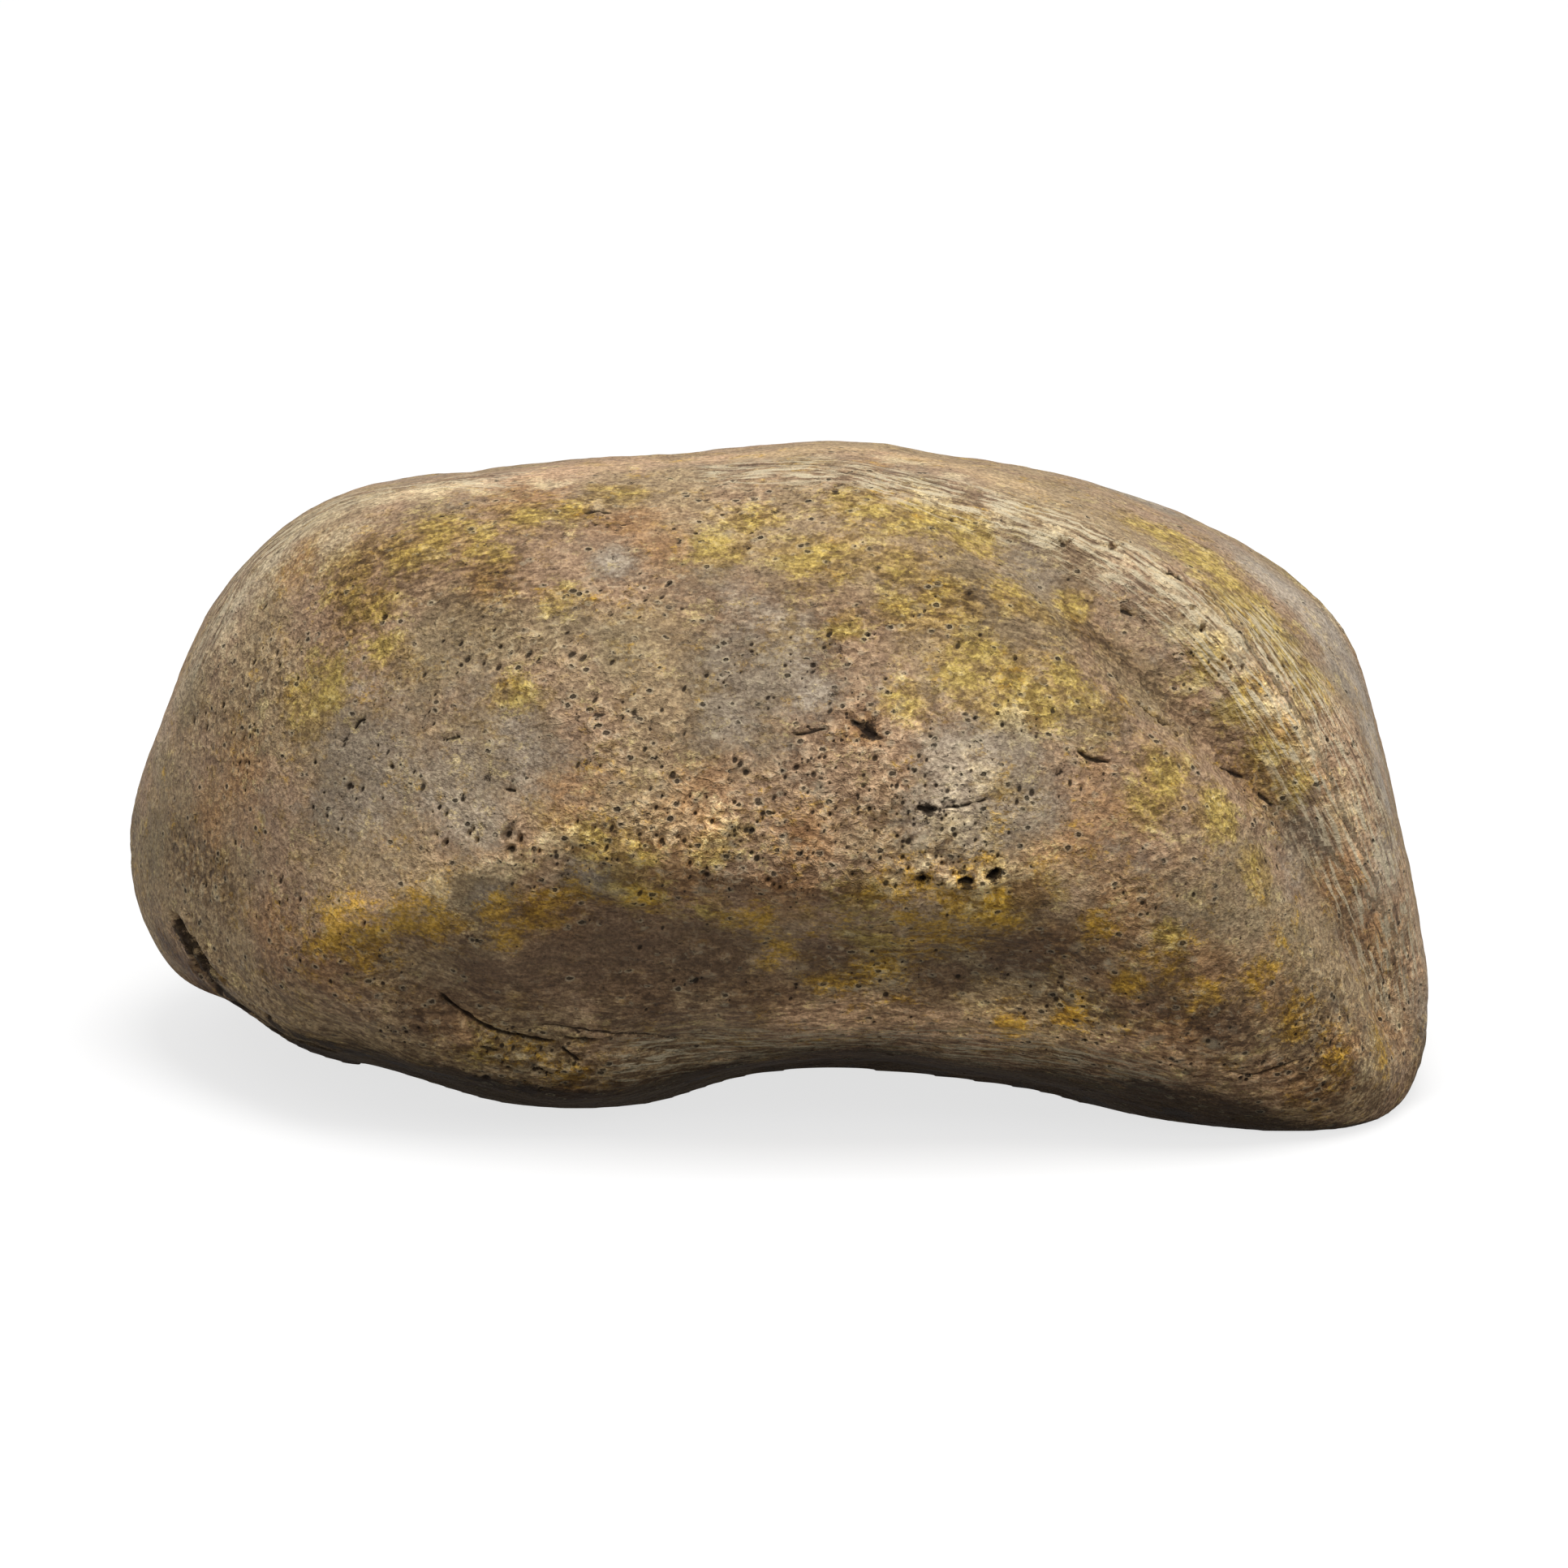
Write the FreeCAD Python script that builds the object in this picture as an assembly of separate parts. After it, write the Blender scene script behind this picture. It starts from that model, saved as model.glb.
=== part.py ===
"""Hide-a-key rock: a cast resin stone with a sliding-cover key compartment in its underside.

Frame: +Z up, the ground is z = 0, +X runs along the length to the blunt end of the stone, +Y to its
back, and the origin lies on the ground under the middle of the stone.  All lengths are millimetres.
"""
import FreeCAD
import Part
import math
import os

Vector = FreeCAD.Vector

# ---------------------------------------------------------------- the stone
STONE_LENGTH = 90.0
STONE_DEPTH = 73.0
STONE_HEIGHT = 45.0
HALF_LENGTH = STONE_LENGTH / 2
HALF_DEPTH = STONE_DEPTH / 2

# Four rails run from the left tip to the right tip of the stone: (x, y, z) stations.
LEFT_TIP = (-HALF_LENGTH, 1.0, 13.8)
RIGHT_TIP = (HALF_LENGTH, -12.5, 5.8)
CREST_RAIL = [
    LEFT_TIP, (-42.6, -5.0, 24.7), (-38.0, -8.0, 34.4), (-33.5, -9.0, 39.4), (-28.0, -10.0, 42.4),
    (-18.0, -10.0, 43.9), (-8.0, -10.0, 44.2), (5.0, -10.0, STONE_HEIGHT), (12.0, -10.0, 44.0),
    (20.0, -9.0, 42.4), (28.0, -8.0, 39.3), (34.0, -7.0, 35.9), (38.3, -6.0, 32.0),
    (40.6, -6.5, 27.8), (42.8, -7.5, 18.5), RIGHT_TIP,
]
FRONT_RAIL = [
    LEFT_TIP, (-42.6, -9.0, 13.5), (-38.0, -17.5, 13.0), (-32.0, -26.0, 14.0), (-22.0, -32.5, 19.5),
    (-12.0, -35.8, 24.5), (-3.0, -HALF_DEPTH, 22.3), (8.0, -36.3, 20.6), (18.0, -35.0, 19.5),
    (28.0, -32.0, 16.0), (36.0, -28.0, 10.0), (41.0, -23.5, 7.0), (43.7, -17.5, 5.8), RIGHT_TIP,
]
BACK_RAIL = [
    LEFT_TIP, (-42.5, 12.0, 13.0), (-36.0, 23.5, 13.0), (-26.0, 31.0, 14.0), (-12.0, 35.3, 15.0),
    (0.0, 36.0, 15.5), (12.0, 35.6, 15.0), (24.0, 33.4, 13.5), (34.0, 29.0, 11.0),
    (41.0, 19.0, 8.0), RIGHT_TIP,
]
KEEL_RAIL = [
    LEFT_TIP, (-42.6, 5.0, 6.0), (-38.0, 6.0, 1.5), (-32.0, 5.0, -1.5), (-24.0, 4.0, -3.0),
    (-14.0, 3.0, -4.0), (4.0, 3.0, -3.0), (20.0, 3.0, -4.0), (36.0, 0.0, -4.0), (42.5, -4.0, -2.0),
    RIGHT_TIP,
]
# Fullness of the four quarter sections between the rails: 1 is a straight bevel, 2 an ellipse.
FRONT_TOP_FULLNESS = [(-45.0, 2.0), (-20.0, 2.0), (0.0, 1.9), (20.0, 2.1), (45.0, 2.2)]
BACK_TOP_FULLNESS = [(-45.0, 2.0), (-20.0, 1.75), (0.0, 1.7), (20.0, 1.7), (45.0, 2.0)]
BACK_LOW_FULLNESS = [(-45.0, 2.0), (-30.0, 3.0), (-10.0, 2.9), (20.0, 3.1), (45.0, 2.4)]
FRONT_LOW_FULLNESS = [
    (-45.0, 2.0), (-36.0, 1.8), (-26.0, 1.7), (-14.0, 1.95), (5.0, 1.62), (20.0, 1.85), (36.0, 2.5),
    (45.0, 2.6),
]

# Broad forms laid on the smooth stone: soft ridges (+) and valleys (-) along paths of (x, y, z) points.
# Each is (path, height, reach), where reach is how far it fades to either side.
BROAD_FORMS = [
    # right shoulder: a valley from the top to the right foot, and the ridge beyond it
    ([(15, -19, 42), (21, -22.5, 39), (26.5, -26, 33.5), (32, -26.5, 27.5), (36, -26, 21.5),
      (39.5, -24, 15.5), (42.5, -18.5, 8.5)], -2.2, 3.6),
    ([(12, -15.5, 43.8), (16.5, -17, 42.5), (26, -18.5, 38), (32, -20, 33), (38, -19.5, 25),
      (41, -16, 17)], 1.2, 3.4),
    # front: the lobe left of the valley, the bump above the ledge and the undercut below it
    ([(26, -31, 22), (30, -30, 13)], 1.4, 6.0),
    ([(8, -34, 29), (15, -34, 28)], 1.3, 5.0),
    ([(-12, -33, 15), (2, -33.5, 13), (17, -32.5, 12.5)], -2.2, 5.5),
    # lower left: a crease with a flake swelling out under it
    ([(-25, -29, 13), (-20, -28, 9.5), (-13.5, -27, 7.5), (-4.5, -26.5, 7)], -1.6, 2.6),
    ([(-23, -24, 8), (-13, -24.5, 5.5)], 2.0, 4.5),
    # front foot: an arch between the two ends that the stone lies on, and the lifted left end
    ([(-2, -16, 1), (8, -18, 1.5), (18, -17, 0.5)], -1.6, 5.0),
    ([(-37, -12, 3.5), (-30, -13, 1.5)], -1.2, 4.0),
    # top and back: a shallow saddle, a swelling low on the back and a hollow over it
    ([(-24, -4, 43), (-12, 8, 39)], -0.8, 8.0),
    ([(-24, 29, 9), (-4, 34, 8), (16, 33, 7)], 1.0, 7.0),
    ([(-8, 30, 27), (12, 29, 25), (26, 24, 21)], -1.8, 7.0),
]

TIP_RING = 0.06
ROWS = 52
COLUMNS = 64

# ---------------------------------------------------------------- the key compartment
# Plan sizes; everything is centred on the same point of the underside.
CENTRE_X = 4.0
CENTRE_Y = 4.5
FRAME_LENGTH = 66.0
FRAME_WIDTH = 37.0
FRAME_CORNER = 5.0
END_BAR = 4.0
RAIL_WIDTH = 3.8
LIP_OVERLAP = 1.4
FLANGE_END = 5.0
TUB_DEPTH = 14.0
TUB_WALL = 1.4
TUB_CORNER = 4.0
TUB_DRAFT = 0.35

# Heights, stacked upwards from the ground.
FRAME_RISE = 2.4
LIP_THICKNESS = 1.2
COVER_THICKNESS = 2.0
FLANGE_THICKNESS = 1.4
GASKET_THICKNESS = 0.8
FOAM_THICKNESS = 2.5

# Clearances.
SLIDE_GAP = 0.2
SEAT_GAP = 0.2
POCKET_GAP = 0.3
FOAM_INSET = 1.5

# Screws: small countersunk self-tapping screws through frame, flange and gasket into the stone.
SCREW_FROM_END = 10.0
SCREW_HEAD = 3.2
SCREW_HEAD_HEIGHT = 0.8
SCREW_SHANK = 1.7
SCREW_LENGTH = 9.0
SCREW_HOLE = 2.0
DRIVE_WIDTH = 0.4
DRIVE_LENGTH = 1.9
DRIVE_DEPTH = 0.5

# Stops that keep the cover from leaving its frame, and its thumb grip.
STOP_FROM_END = 4.2
LUG_LENGTH = 2.0
LUG_WIDTH = 1.4
LUG_HEIGHT = 0.9
GRIP_RIDGES = 5
GRIP_PITCH = 2.4
GRIP_RIDGE_WIDTH = 1.0
GRIP_RIDGE_LENGTH = 16.0
GRIP_RIDGE_HEIGHT = 0.7

# How far a cutter runs past the face it cuts, and how deep a boss is rooted in its plate.
PAST = 1.0
ROOT = 0.5

LIP_TOP = FRAME_RISE + LIP_THICKNESS
COVER_BOTTOM = LIP_TOP + SLIDE_GAP
COVER_TOP = COVER_BOTTOM + COVER_THICKNESS
FLANGE_BOTTOM = COVER_TOP + SLIDE_GAP
FLANGE_TOP = FLANGE_BOTTOM + FLANGE_THICKNESS
RECESS_TOP = FLANGE_TOP + GASKET_THICKNESS
TUB_CEILING = FLANGE_BOTTOM + TUB_DEPTH
CENTRE = Vector(CENTRE_X, CENTRE_Y, 0)
LEFT_END = CENTRE_X - FRAME_LENGTH / 2
COVER_RIGHT_END = LEFT_END + FRAME_LENGTH - END_BAR - SLIDE_GAP
CHANNEL_WIDTH = FRAME_WIDTH - 2 * RAIL_WIDTH
COVER_WIDTH = CHANNEL_WIDTH - 2 * SLIDE_GAP
LIP_WIDTH = COVER_WIDTH - 2 * LIP_OVERLAP
TUB_LENGTH = FRAME_LENGTH - 2 * FLANGE_END
TUB_WIDTH = LIP_WIDTH
TUB_MOUTH = (TUB_LENGTH + 2 * TUB_WALL, TUB_WIDTH + 2 * TUB_WALL, TUB_CORNER + TUB_WALL)
SCREW_X = FRAME_LENGTH / 2 - SCREW_FROM_END
SCREW_Y = (FRAME_WIDTH - RAIL_WIDTH) / 2
LUG_LEFT = COVER_RIGHT_END - LIP_OVERLAP - LUG_LENGTH
STOP_RIGHT = LEFT_END + STOP_FROM_END + LUG_LENGTH
COVER_TRAVEL = LUG_LEFT - STOP_RIGHT - SLIDE_GAP
BELOW_STONE = -10.0


def turn_of(x):
    """Angle of a station along the stone: 0 at the left tip, pi at the right tip."""
    return math.acos(max(-1.0, min(1.0, -x / HALF_LENGTH)))


def follow(stations, turn):
    """Values of a rail at one turn, from a smooth curve through its stations."""
    turns = [turn_of(station[0]) for station in stations]
    last = len(stations) - 1
    k = 0
    while k < last - 1 and turn > turns[k + 1]:
        k += 1
    span = turns[k + 1] - turns[k]
    t = (turn - turns[k]) / span
    values = []
    for n in range(1, len(stations[0])):
        slopes = []
        for m in (k, k + 1):
            before = max(m - 1, 0)
            after = min(m + 1, last)
            slopes.append((stations[after][n] - stations[before][n]) / (turns[after] - turns[before]))
        values.append(
            (2 * t ** 3 - 3 * t ** 2 + 1) * stations[k][n]
            + (t ** 3 - 2 * t ** 2 + t) * span * slopes[0]
            + (3 * t ** 2 - 2 * t ** 3) * stations[k + 1][n]
            + (t ** 3 - t ** 2) * span * slopes[1]
        )
    return values


def smooth_stone(turn, around):
    """Point of the stone before its broad forms; `around` runs back, crest, front, keel."""
    y_back, z_back = follow(BACK_RAIL, turn)
    y_crest, z_crest = follow(CREST_RAIL, turn)
    y_front, z_front = follow(FRONT_RAIL, turn)
    y_keel, z_keel = follow(KEEL_RAIL, turn)
    side = math.cos(around)
    up = math.sin(around)
    if up >= 0:
        y_pole, z_pole = y_crest, z_crest
        fullness = BACK_TOP_FULLNESS if side >= 0 else FRONT_TOP_FULLNESS
    else:
        y_pole, z_pole = y_keel, z_keel
        fullness = BACK_LOW_FULLNESS if side >= 0 else FRONT_LOW_FULLNESS
    y_side, z_side = (y_back, z_back) if side >= 0 else (y_front, z_front)
    power = 2.0 / follow(fullness, turn)[0]
    y = y_pole + (y_side - y_pole) * abs(side) ** power
    z = z_side + (z_pole - z_side) * abs(up) ** power
    return Vector(-HALF_LENGTH * math.cos(turn) / math.cos(TIP_RING), y, z)


def outward(turn, around):
    """Direction that points straight out of the smooth stone."""
    step = 0.02
    along = smooth_stone(turn + step, around) - smooth_stone(turn - step, around)
    across = smooth_stone(turn, around + step) - smooth_stone(turn, around - step)
    return across.cross(along).normalize()


def distance_to_path(point, path):
    """Shortest distance from a point to a path of straight pieces."""
    nearest = math.inf
    for start, end in zip(path, path[1:]):
        start = Vector(*start)
        run = Vector(*end) - start
        share = max(0.0, min(1.0, (point - start).dot(run) / run.dot(run)))
        nearest = min(nearest, point.distanceToPoint(start + run * share))
    return nearest


def stone_point(turn, around):
    """Point of the stone with its broad forms."""
    point = smooth_stone(turn, around)
    rise = sum(
        height * math.exp(-(distance_to_path(point, path) / reach) ** 2)
        for path, height, reach in BROAD_FORMS
    )
    return point + outward(turn, around) * rise


def stone_skin():
    """Closed skin of the stone: a smooth sheet wrapped round the length, with a small cap at each tip."""
    poles = []
    for row in range(ROWS):
        turn = TIP_RING + (math.pi - 2 * TIP_RING) * row / (ROWS - 1)
        # the rings at the tips stay flat, so that a cap closes them
        place = smooth_stone if row in (0, ROWS - 1) else stone_point
        poles.append([place(turn, 2 * math.pi * column / COLUMNS) for column in range(COLUMNS)])
    degree = 3
    row_knots = list(range(ROWS - degree + 1))
    row_mults = [degree + 1] + [1] * (ROWS - degree - 1) + [degree + 1]
    column_knots = list(range(COLUMNS + 1))
    column_mults = [1] * (COLUMNS + 1)
    sheet = Part.BSplineSurface()
    sheet.buildFromPolesMultsKnots(
        poles, row_mults, column_mults, row_knots, column_knots, False, True, degree, degree
    )
    face = sheet.toShape()
    tips = [Part.Face(Part.Wire([edge])) for edge in face.Edges if not edge.isSeam(face)]
    skin = Part.Shell([face] + tips)
    skin.sewShape()
    return Part.Solid(skin)


def rounded_plate(length, width, corner, bottom, top):
    """Plate with rounded corners, centred on the compartment."""
    box = Part.makeBox(
        length, width, top - bottom, Vector(CENTRE.x - length / 2, CENTRE.y - width / 2, bottom)
    )
    uprights = [edge for edge in box.Edges if abs(edge.BoundBox.ZLength - (top - bottom)) < 1e-6]
    return box.makeFillet(corner, uprights)


def strip(left, right, width, bottom, top):
    """Plain bar between two stations, centred on the middle line of the compartment."""
    return Part.makeBox(right - left, width, top - bottom, Vector(left, CENTRE.y - width / 2, bottom))


def tapered_tub(length, width, corner, bottom, top):
    """Block with rounded corners that narrows upwards by the moulding draft."""
    shrink = TUB_DRAFT * (top - bottom) / TUB_DEPTH
    outlines = []
    for inset, height in ((0.0, bottom), (shrink, top)):
        plate = rounded_plate(
            length - 2 * inset, width - 2 * inset, corner - inset, height, height + PAST
        )
        floor = min(plate.Faces, key=lambda face: face.CenterOfMass.z)
        outlines.append(floor.OuterWire)
    return Part.makeLoft(outlines, True, True)


def pocket_plan():
    """Length, width and corner of the hollow in the stone that the tub stands in."""
    length, width, corner = TUB_MOUTH
    return length + 2 * POCKET_GAP, width + 2 * POCKET_GAP, corner + POCKET_GAP


def screw_spots():
    """Centres of the four screws on the plane z = 0."""
    return [
        CENTRE + Vector(x, y, 0)
        for x in (-SCREW_X, SCREW_X)
        for y in (-SCREW_Y, SCREW_Y)
    ]


def pegs(diameter, bottom, top):
    """A round peg at every screw, used to drill holes."""
    return Part.makeCompound([
        Part.makeCylinder(diameter / 2, top - bottom, spot + Vector(0, 0, bottom))
        for spot in screw_spots()
    ])


def screw_head(spot):
    """Countersunk head, flush with the underside of the frame."""
    return Part.makeCone(
        SCREW_HEAD / 2, SCREW_SHANK / 2, SCREW_HEAD_HEIGHT, spot + Vector(0, 0, FRAME_RISE)
    )


def screw(spot):
    """One self-tapping screw with a cross recess in its head."""
    shank_start = spot + Vector(0, 0, FRAME_RISE + SCREW_HEAD_HEIGHT)
    point_length = SCREW_SHANK
    shank_length = SCREW_LENGTH - SCREW_HEAD_HEIGHT - point_length
    shank = Part.makeCylinder(SCREW_SHANK / 2, shank_length, shank_start)
    point = Part.makeCone(
        SCREW_SHANK / 2, 0.2, point_length, shank_start + Vector(0, 0, shank_length)
    )
    solid = screw_head(spot).fuse([shank, point]).removeSplitter()
    for long_side, short_side in ((DRIVE_LENGTH, DRIVE_WIDTH), (DRIVE_WIDTH, DRIVE_LENGTH)):
        corner = spot + Vector(-long_side / 2, -short_side / 2, FRAME_RISE)
        solid = solid.cut(Part.makeBox(long_side, short_side, DRIVE_DEPTH, corner))
    return solid


def rock_shell():
    """Cast stone: skin cut flat on the ground, recess, pocket, run-out for the cover, screw holes."""
    ground = Part.makeBox(
        2 * STONE_LENGTH, 2 * STONE_DEPTH, -BELOW_STONE, Vector(-STONE_LENGTH, -STONE_DEPTH, BELOW_STONE)
    )
    recess = rounded_plate(
        FRAME_LENGTH + 2 * SEAT_GAP, FRAME_WIDTH + 2 * SEAT_GAP, FRAME_CORNER + SEAT_GAP,
        BELOW_STONE, RECESS_TOP,
    )
    pocket = tapered_tub(*pocket_plan(), RECESS_TOP - PAST, TUB_CEILING + TUB_WALL + POCKET_GAP)
    run_out = strip(
        -STONE_LENGTH, LEFT_END + FRAME_CORNER, CHANNEL_WIDTH + 2 * SEAT_GAP,
        BELOW_STONE, COVER_TOP + SLIDE_GAP + SEAT_GAP,
    )
    holes = pegs(SCREW_SHANK + 2 * SLIDE_GAP, RECESS_TOP - PAST, FRAME_RISE + SCREW_LENGTH + PAST)
    return stone_skin().cut(ground).cut([recess, pocket, run_out, holes])


def key_tub():
    """Moulded tub, mouth down, with a flange that covers the recess."""
    flange = rounded_plate(FRAME_LENGTH, FRAME_WIDTH, FRAME_CORNER, FLANGE_BOTTOM, FLANGE_TOP)
    body = tapered_tub(*TUB_MOUTH, FLANGE_BOTTOM, TUB_CEILING + TUB_WALL)
    hollow = tapered_tub(TUB_LENGTH, TUB_WIDTH, TUB_CORNER, FLANGE_BOTTOM, TUB_CEILING)
    return flange.fuse(body).cut([hollow, pegs(SCREW_HOLE, FLANGE_BOTTOM - PAST, FLANGE_TOP + PAST)])


def cover_frame():
    """Three-sided frame whose lips carry the cover; its left end is open for the cover to leave."""
    frame = rounded_plate(FRAME_LENGTH, FRAME_WIDTH, FRAME_CORNER, FRAME_RISE, FLANGE_BOTTOM)
    channel = strip(
        LEFT_END - PAST, COVER_RIGHT_END + SLIDE_GAP, CHANNEL_WIDTH, LIP_TOP, FLANGE_BOTTOM + PAST
    )
    window = strip(
        LEFT_END - PAST, COVER_RIGHT_END - LIP_OVERLAP, LIP_WIDTH, FRAME_RISE - PAST, LIP_TOP + PAST
    )
    frame = frame.cut([channel, window])
    tooth_gap = LIP_WIDTH - 2 * (LUG_WIDTH + SLIDE_GAP)
    teeth = strip(STOP_RIGHT - LUG_LENGTH, STOP_RIGHT, LIP_WIDTH + 2 * ROOT, FRAME_RISE, LIP_TOP)
    between = strip(STOP_RIGHT - LUG_LENGTH, STOP_RIGHT, tooth_gap, FRAME_RISE, LIP_TOP)
    frame = frame.fuse(teeth.cut(between)).removeSplitter()
    heads = [screw_head(spot) for spot in screw_spots()]
    return frame.cut([pegs(SCREW_HOLE, FRAME_RISE, FLANGE_BOTTOM + PAST)] + heads)


def sliding_cover():
    """Flat cover with thumb ridges near its leading end and two stop lugs at its tail."""
    plate = strip(LEFT_END, COVER_RIGHT_END, COVER_WIDTH, COVER_BOTTOM, COVER_TOP)
    lug_outer = LIP_WIDTH - 2 * SLIDE_GAP
    lug_bottom = COVER_BOTTOM - LUG_HEIGHT
    lug_top = COVER_BOTTOM + ROOT
    lug_row = strip(LUG_LEFT, LUG_LEFT + LUG_LENGTH, lug_outer, lug_bottom, lug_top)
    lug_space = strip(
        LUG_LEFT, LUG_LEFT + LUG_LENGTH, lug_outer - 2 * LUG_WIDTH, lug_bottom, lug_top
    )
    ridges = [
        strip(
            left, left + GRIP_RIDGE_WIDTH, GRIP_RIDGE_LENGTH,
            COVER_BOTTOM - GRIP_RIDGE_HEIGHT, COVER_BOTTOM + ROOT,
        )
        for left in [LEFT_END + GRIP_PITCH * (n + 1) for n in range(GRIP_RIDGES)]
    ]
    return plate.fuse([lug_row.cut(lug_space)] + ridges).removeSplitter()


def tub_gasket():
    """Flat ring between the tub's flange and the roof of the recess."""
    ring = rounded_plate(
        FRAME_LENGTH - 2 * SEAT_GAP, FRAME_WIDTH - 2 * SEAT_GAP, FRAME_CORNER - SEAT_GAP,
        FLANGE_TOP, RECESS_TOP,
    )
    hole = rounded_plate(*pocket_plan(), FLANGE_TOP - PAST, RECESS_TOP + PAST)
    return ring.cut([hole, pegs(SCREW_HOLE, FLANGE_TOP - PAST, RECESS_TOP + PAST)])


def foam_pad():
    """Pad on the roof of the tub that keeps the keys from rattling."""
    inset = TUB_DRAFT + FOAM_INSET
    return rounded_plate(
        TUB_LENGTH - 2 * inset, TUB_WIDTH - 2 * inset, TUB_CORNER - inset,
        TUB_CEILING - FOAM_THICKNESS, TUB_CEILING,
    )


PARTS = {
    "rock_shell": rock_shell(),
    "key_tub": key_tub(),
    "cover_frame": cover_frame(),
    "frame_screws": Part.makeCompound([screw(spot) for spot in screw_spots()]),
    "tub_gasket": tub_gasket(),
    "foam_pad": foam_pad(),
    "sliding_cover": sliding_cover(),
}

os.makedirs("parts", exist_ok=True)
for name, shape in PARTS.items():
    shape.exportStep(f"parts/{name}.step")
    print(name, len(shape.Solids), shape.isValid(), round(shape.Volume, 1))
print("the cover slides", round(COVER_TRAVEL, 3), "mm")
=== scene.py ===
# %% [markdown]
# # A stone that hides a key
#
# The object is a cast resin stone, 90 mm long, with a small plastic key box sunk in its underside.
# From above it has to pass for a real stone, so nearly all of the work goes into its skin: broad
# forms, cracks, pits, and layers of paint.  The box underneath is plain moulded plastic.
#
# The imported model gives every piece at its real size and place.  We load it first and never move it.
# Each later cell either finishes a piece that is already right, or models a richer one over it.

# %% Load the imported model
import math

import bmesh
import bpy
import numpy as np
from mathutils import Color, Euler, Matrix, Vector, noise
from mathutils.bvhtree import BVHTree
from mathutils.kdtree import KDTree


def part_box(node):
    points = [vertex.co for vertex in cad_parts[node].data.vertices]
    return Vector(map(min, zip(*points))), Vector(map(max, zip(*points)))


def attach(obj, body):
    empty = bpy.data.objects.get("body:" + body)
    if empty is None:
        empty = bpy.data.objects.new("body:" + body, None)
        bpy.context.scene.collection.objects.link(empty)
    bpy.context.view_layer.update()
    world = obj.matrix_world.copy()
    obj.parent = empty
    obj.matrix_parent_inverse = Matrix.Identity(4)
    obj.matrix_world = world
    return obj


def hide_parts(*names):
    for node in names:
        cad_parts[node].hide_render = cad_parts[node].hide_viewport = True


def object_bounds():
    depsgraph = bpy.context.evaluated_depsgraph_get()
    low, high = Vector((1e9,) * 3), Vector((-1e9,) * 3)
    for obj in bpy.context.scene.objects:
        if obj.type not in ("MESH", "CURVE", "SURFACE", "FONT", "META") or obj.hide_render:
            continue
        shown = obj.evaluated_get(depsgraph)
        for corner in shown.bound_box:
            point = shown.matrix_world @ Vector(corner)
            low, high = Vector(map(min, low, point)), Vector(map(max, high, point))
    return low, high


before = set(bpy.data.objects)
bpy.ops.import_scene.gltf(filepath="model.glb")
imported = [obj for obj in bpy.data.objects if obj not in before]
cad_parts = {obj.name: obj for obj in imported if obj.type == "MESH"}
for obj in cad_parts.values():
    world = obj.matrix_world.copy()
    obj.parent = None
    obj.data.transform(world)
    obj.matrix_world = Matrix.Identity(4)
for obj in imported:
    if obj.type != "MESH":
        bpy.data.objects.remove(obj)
cad_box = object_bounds()
MM = 0.001


def in_mm(box):
    """The lowest and the highest corner of a box, in mm."""
    return [np.array(corner) / MM for corner in box]


def new_object(name, data):
    """An object in the scene that shows some data."""
    thing = bpy.data.objects.new(name, data)
    bpy.context.scene.collection.objects.link(thing)
    return thing


BOX_LOW, BOX_HIGH = in_mm(cad_box)
print("size in mm:", (BOX_HIGH - BOX_LOW).round(1))

# %% [markdown]
# ## The camera
#
# A small object is pictured from some way off with a long lens, so that its near side doesn't look
# swollen.  The camera stands in front of the stone and looks down on it by a few degrees.  We settle
# it before anything else, because the marks on the stone are placed as they are seen from here.

# %% Camera
PICTURE = 1932
VIEW_WIDTH = 109 * MM
CAMERA_DISTANCE = 1500 * MM
CAMERA_TILT = math.radians(14)
SENSOR = 36.0
AIM = Vector((0.5, 0.0, 19.1)) * MM
TO_FRONT = np.array([0.0, -math.cos(CAMERA_TILT), math.sin(CAMERA_TILT)])

camera = new_object("camera", bpy.data.cameras.new("camera"))
camera.rotation_euler = (math.pi / 2 - CAMERA_TILT, 0, 0)
camera.location = AIM + Vector(CAMERA_DISTANCE * TO_FRONT)
camera.data.sensor_width = SENSOR
camera.data.lens = SENSOR * CAMERA_DISTANCE / VIEW_WIDTH
bpy.context.scene.camera = camera
print("the camera stands at", camera.location.to_tuple(3), "with a lens of", round(camera.data.lens), "mm")

# %% [markdown]
# ## Where things are on the stone
#
# Marks on a stone are easiest to place as they are seen.  `on_stone` takes a place in a square
# picture of 1932 by 1932 points, counted from its top left corner, and follows the line of sight
# until it meets the stone.  The answer is a point in millimetres on the real surface, so a mark that
# is placed this way sits on the stone from whatever side it is seen later.  Turned by 180 degrees,
# the same picture shows the back.
#
# `line_on_stone` does this for a whole line, and rounds its corners on the way: between each two
# places it takes a few steps along a smooth curve.

# %% Find places on the stone
CURVE_STEPS = 4
stone_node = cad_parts["rock_shell"]
cast_surface = BVHTree.FromPolygons(
    [vertex.co for vertex in stone_node.data.vertices],
    [tuple(polygon.vertices) for polygon in stone_node.data.polygons],
)


def on_stone(across, down, turned=0):
    """Point of the stone, in mm, that is seen at one place of the picture."""
    around = Matrix.Rotation(math.radians(turned), 3, "Z")
    axes = around @ Euler((math.pi / 2 - CAMERA_TILT, 0, 0)).to_matrix()
    eye = AIM + axes @ Vector((0, 0, CAMERA_DISTANCE))
    right = (across / PICTURE - 0.5) * VIEW_WIDTH
    up = (0.5 - down / PICTURE) * VIEW_WIDTH
    target = AIM + axes @ Vector((right, up, 0))
    hit = cast_surface.ray_cast(eye, (target - eye).normalized())[0]
    # a place just beside the outline is moved to the nearest point of the stone
    return np.array(hit or cast_surface.find_nearest(target)[0]) / MM


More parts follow.
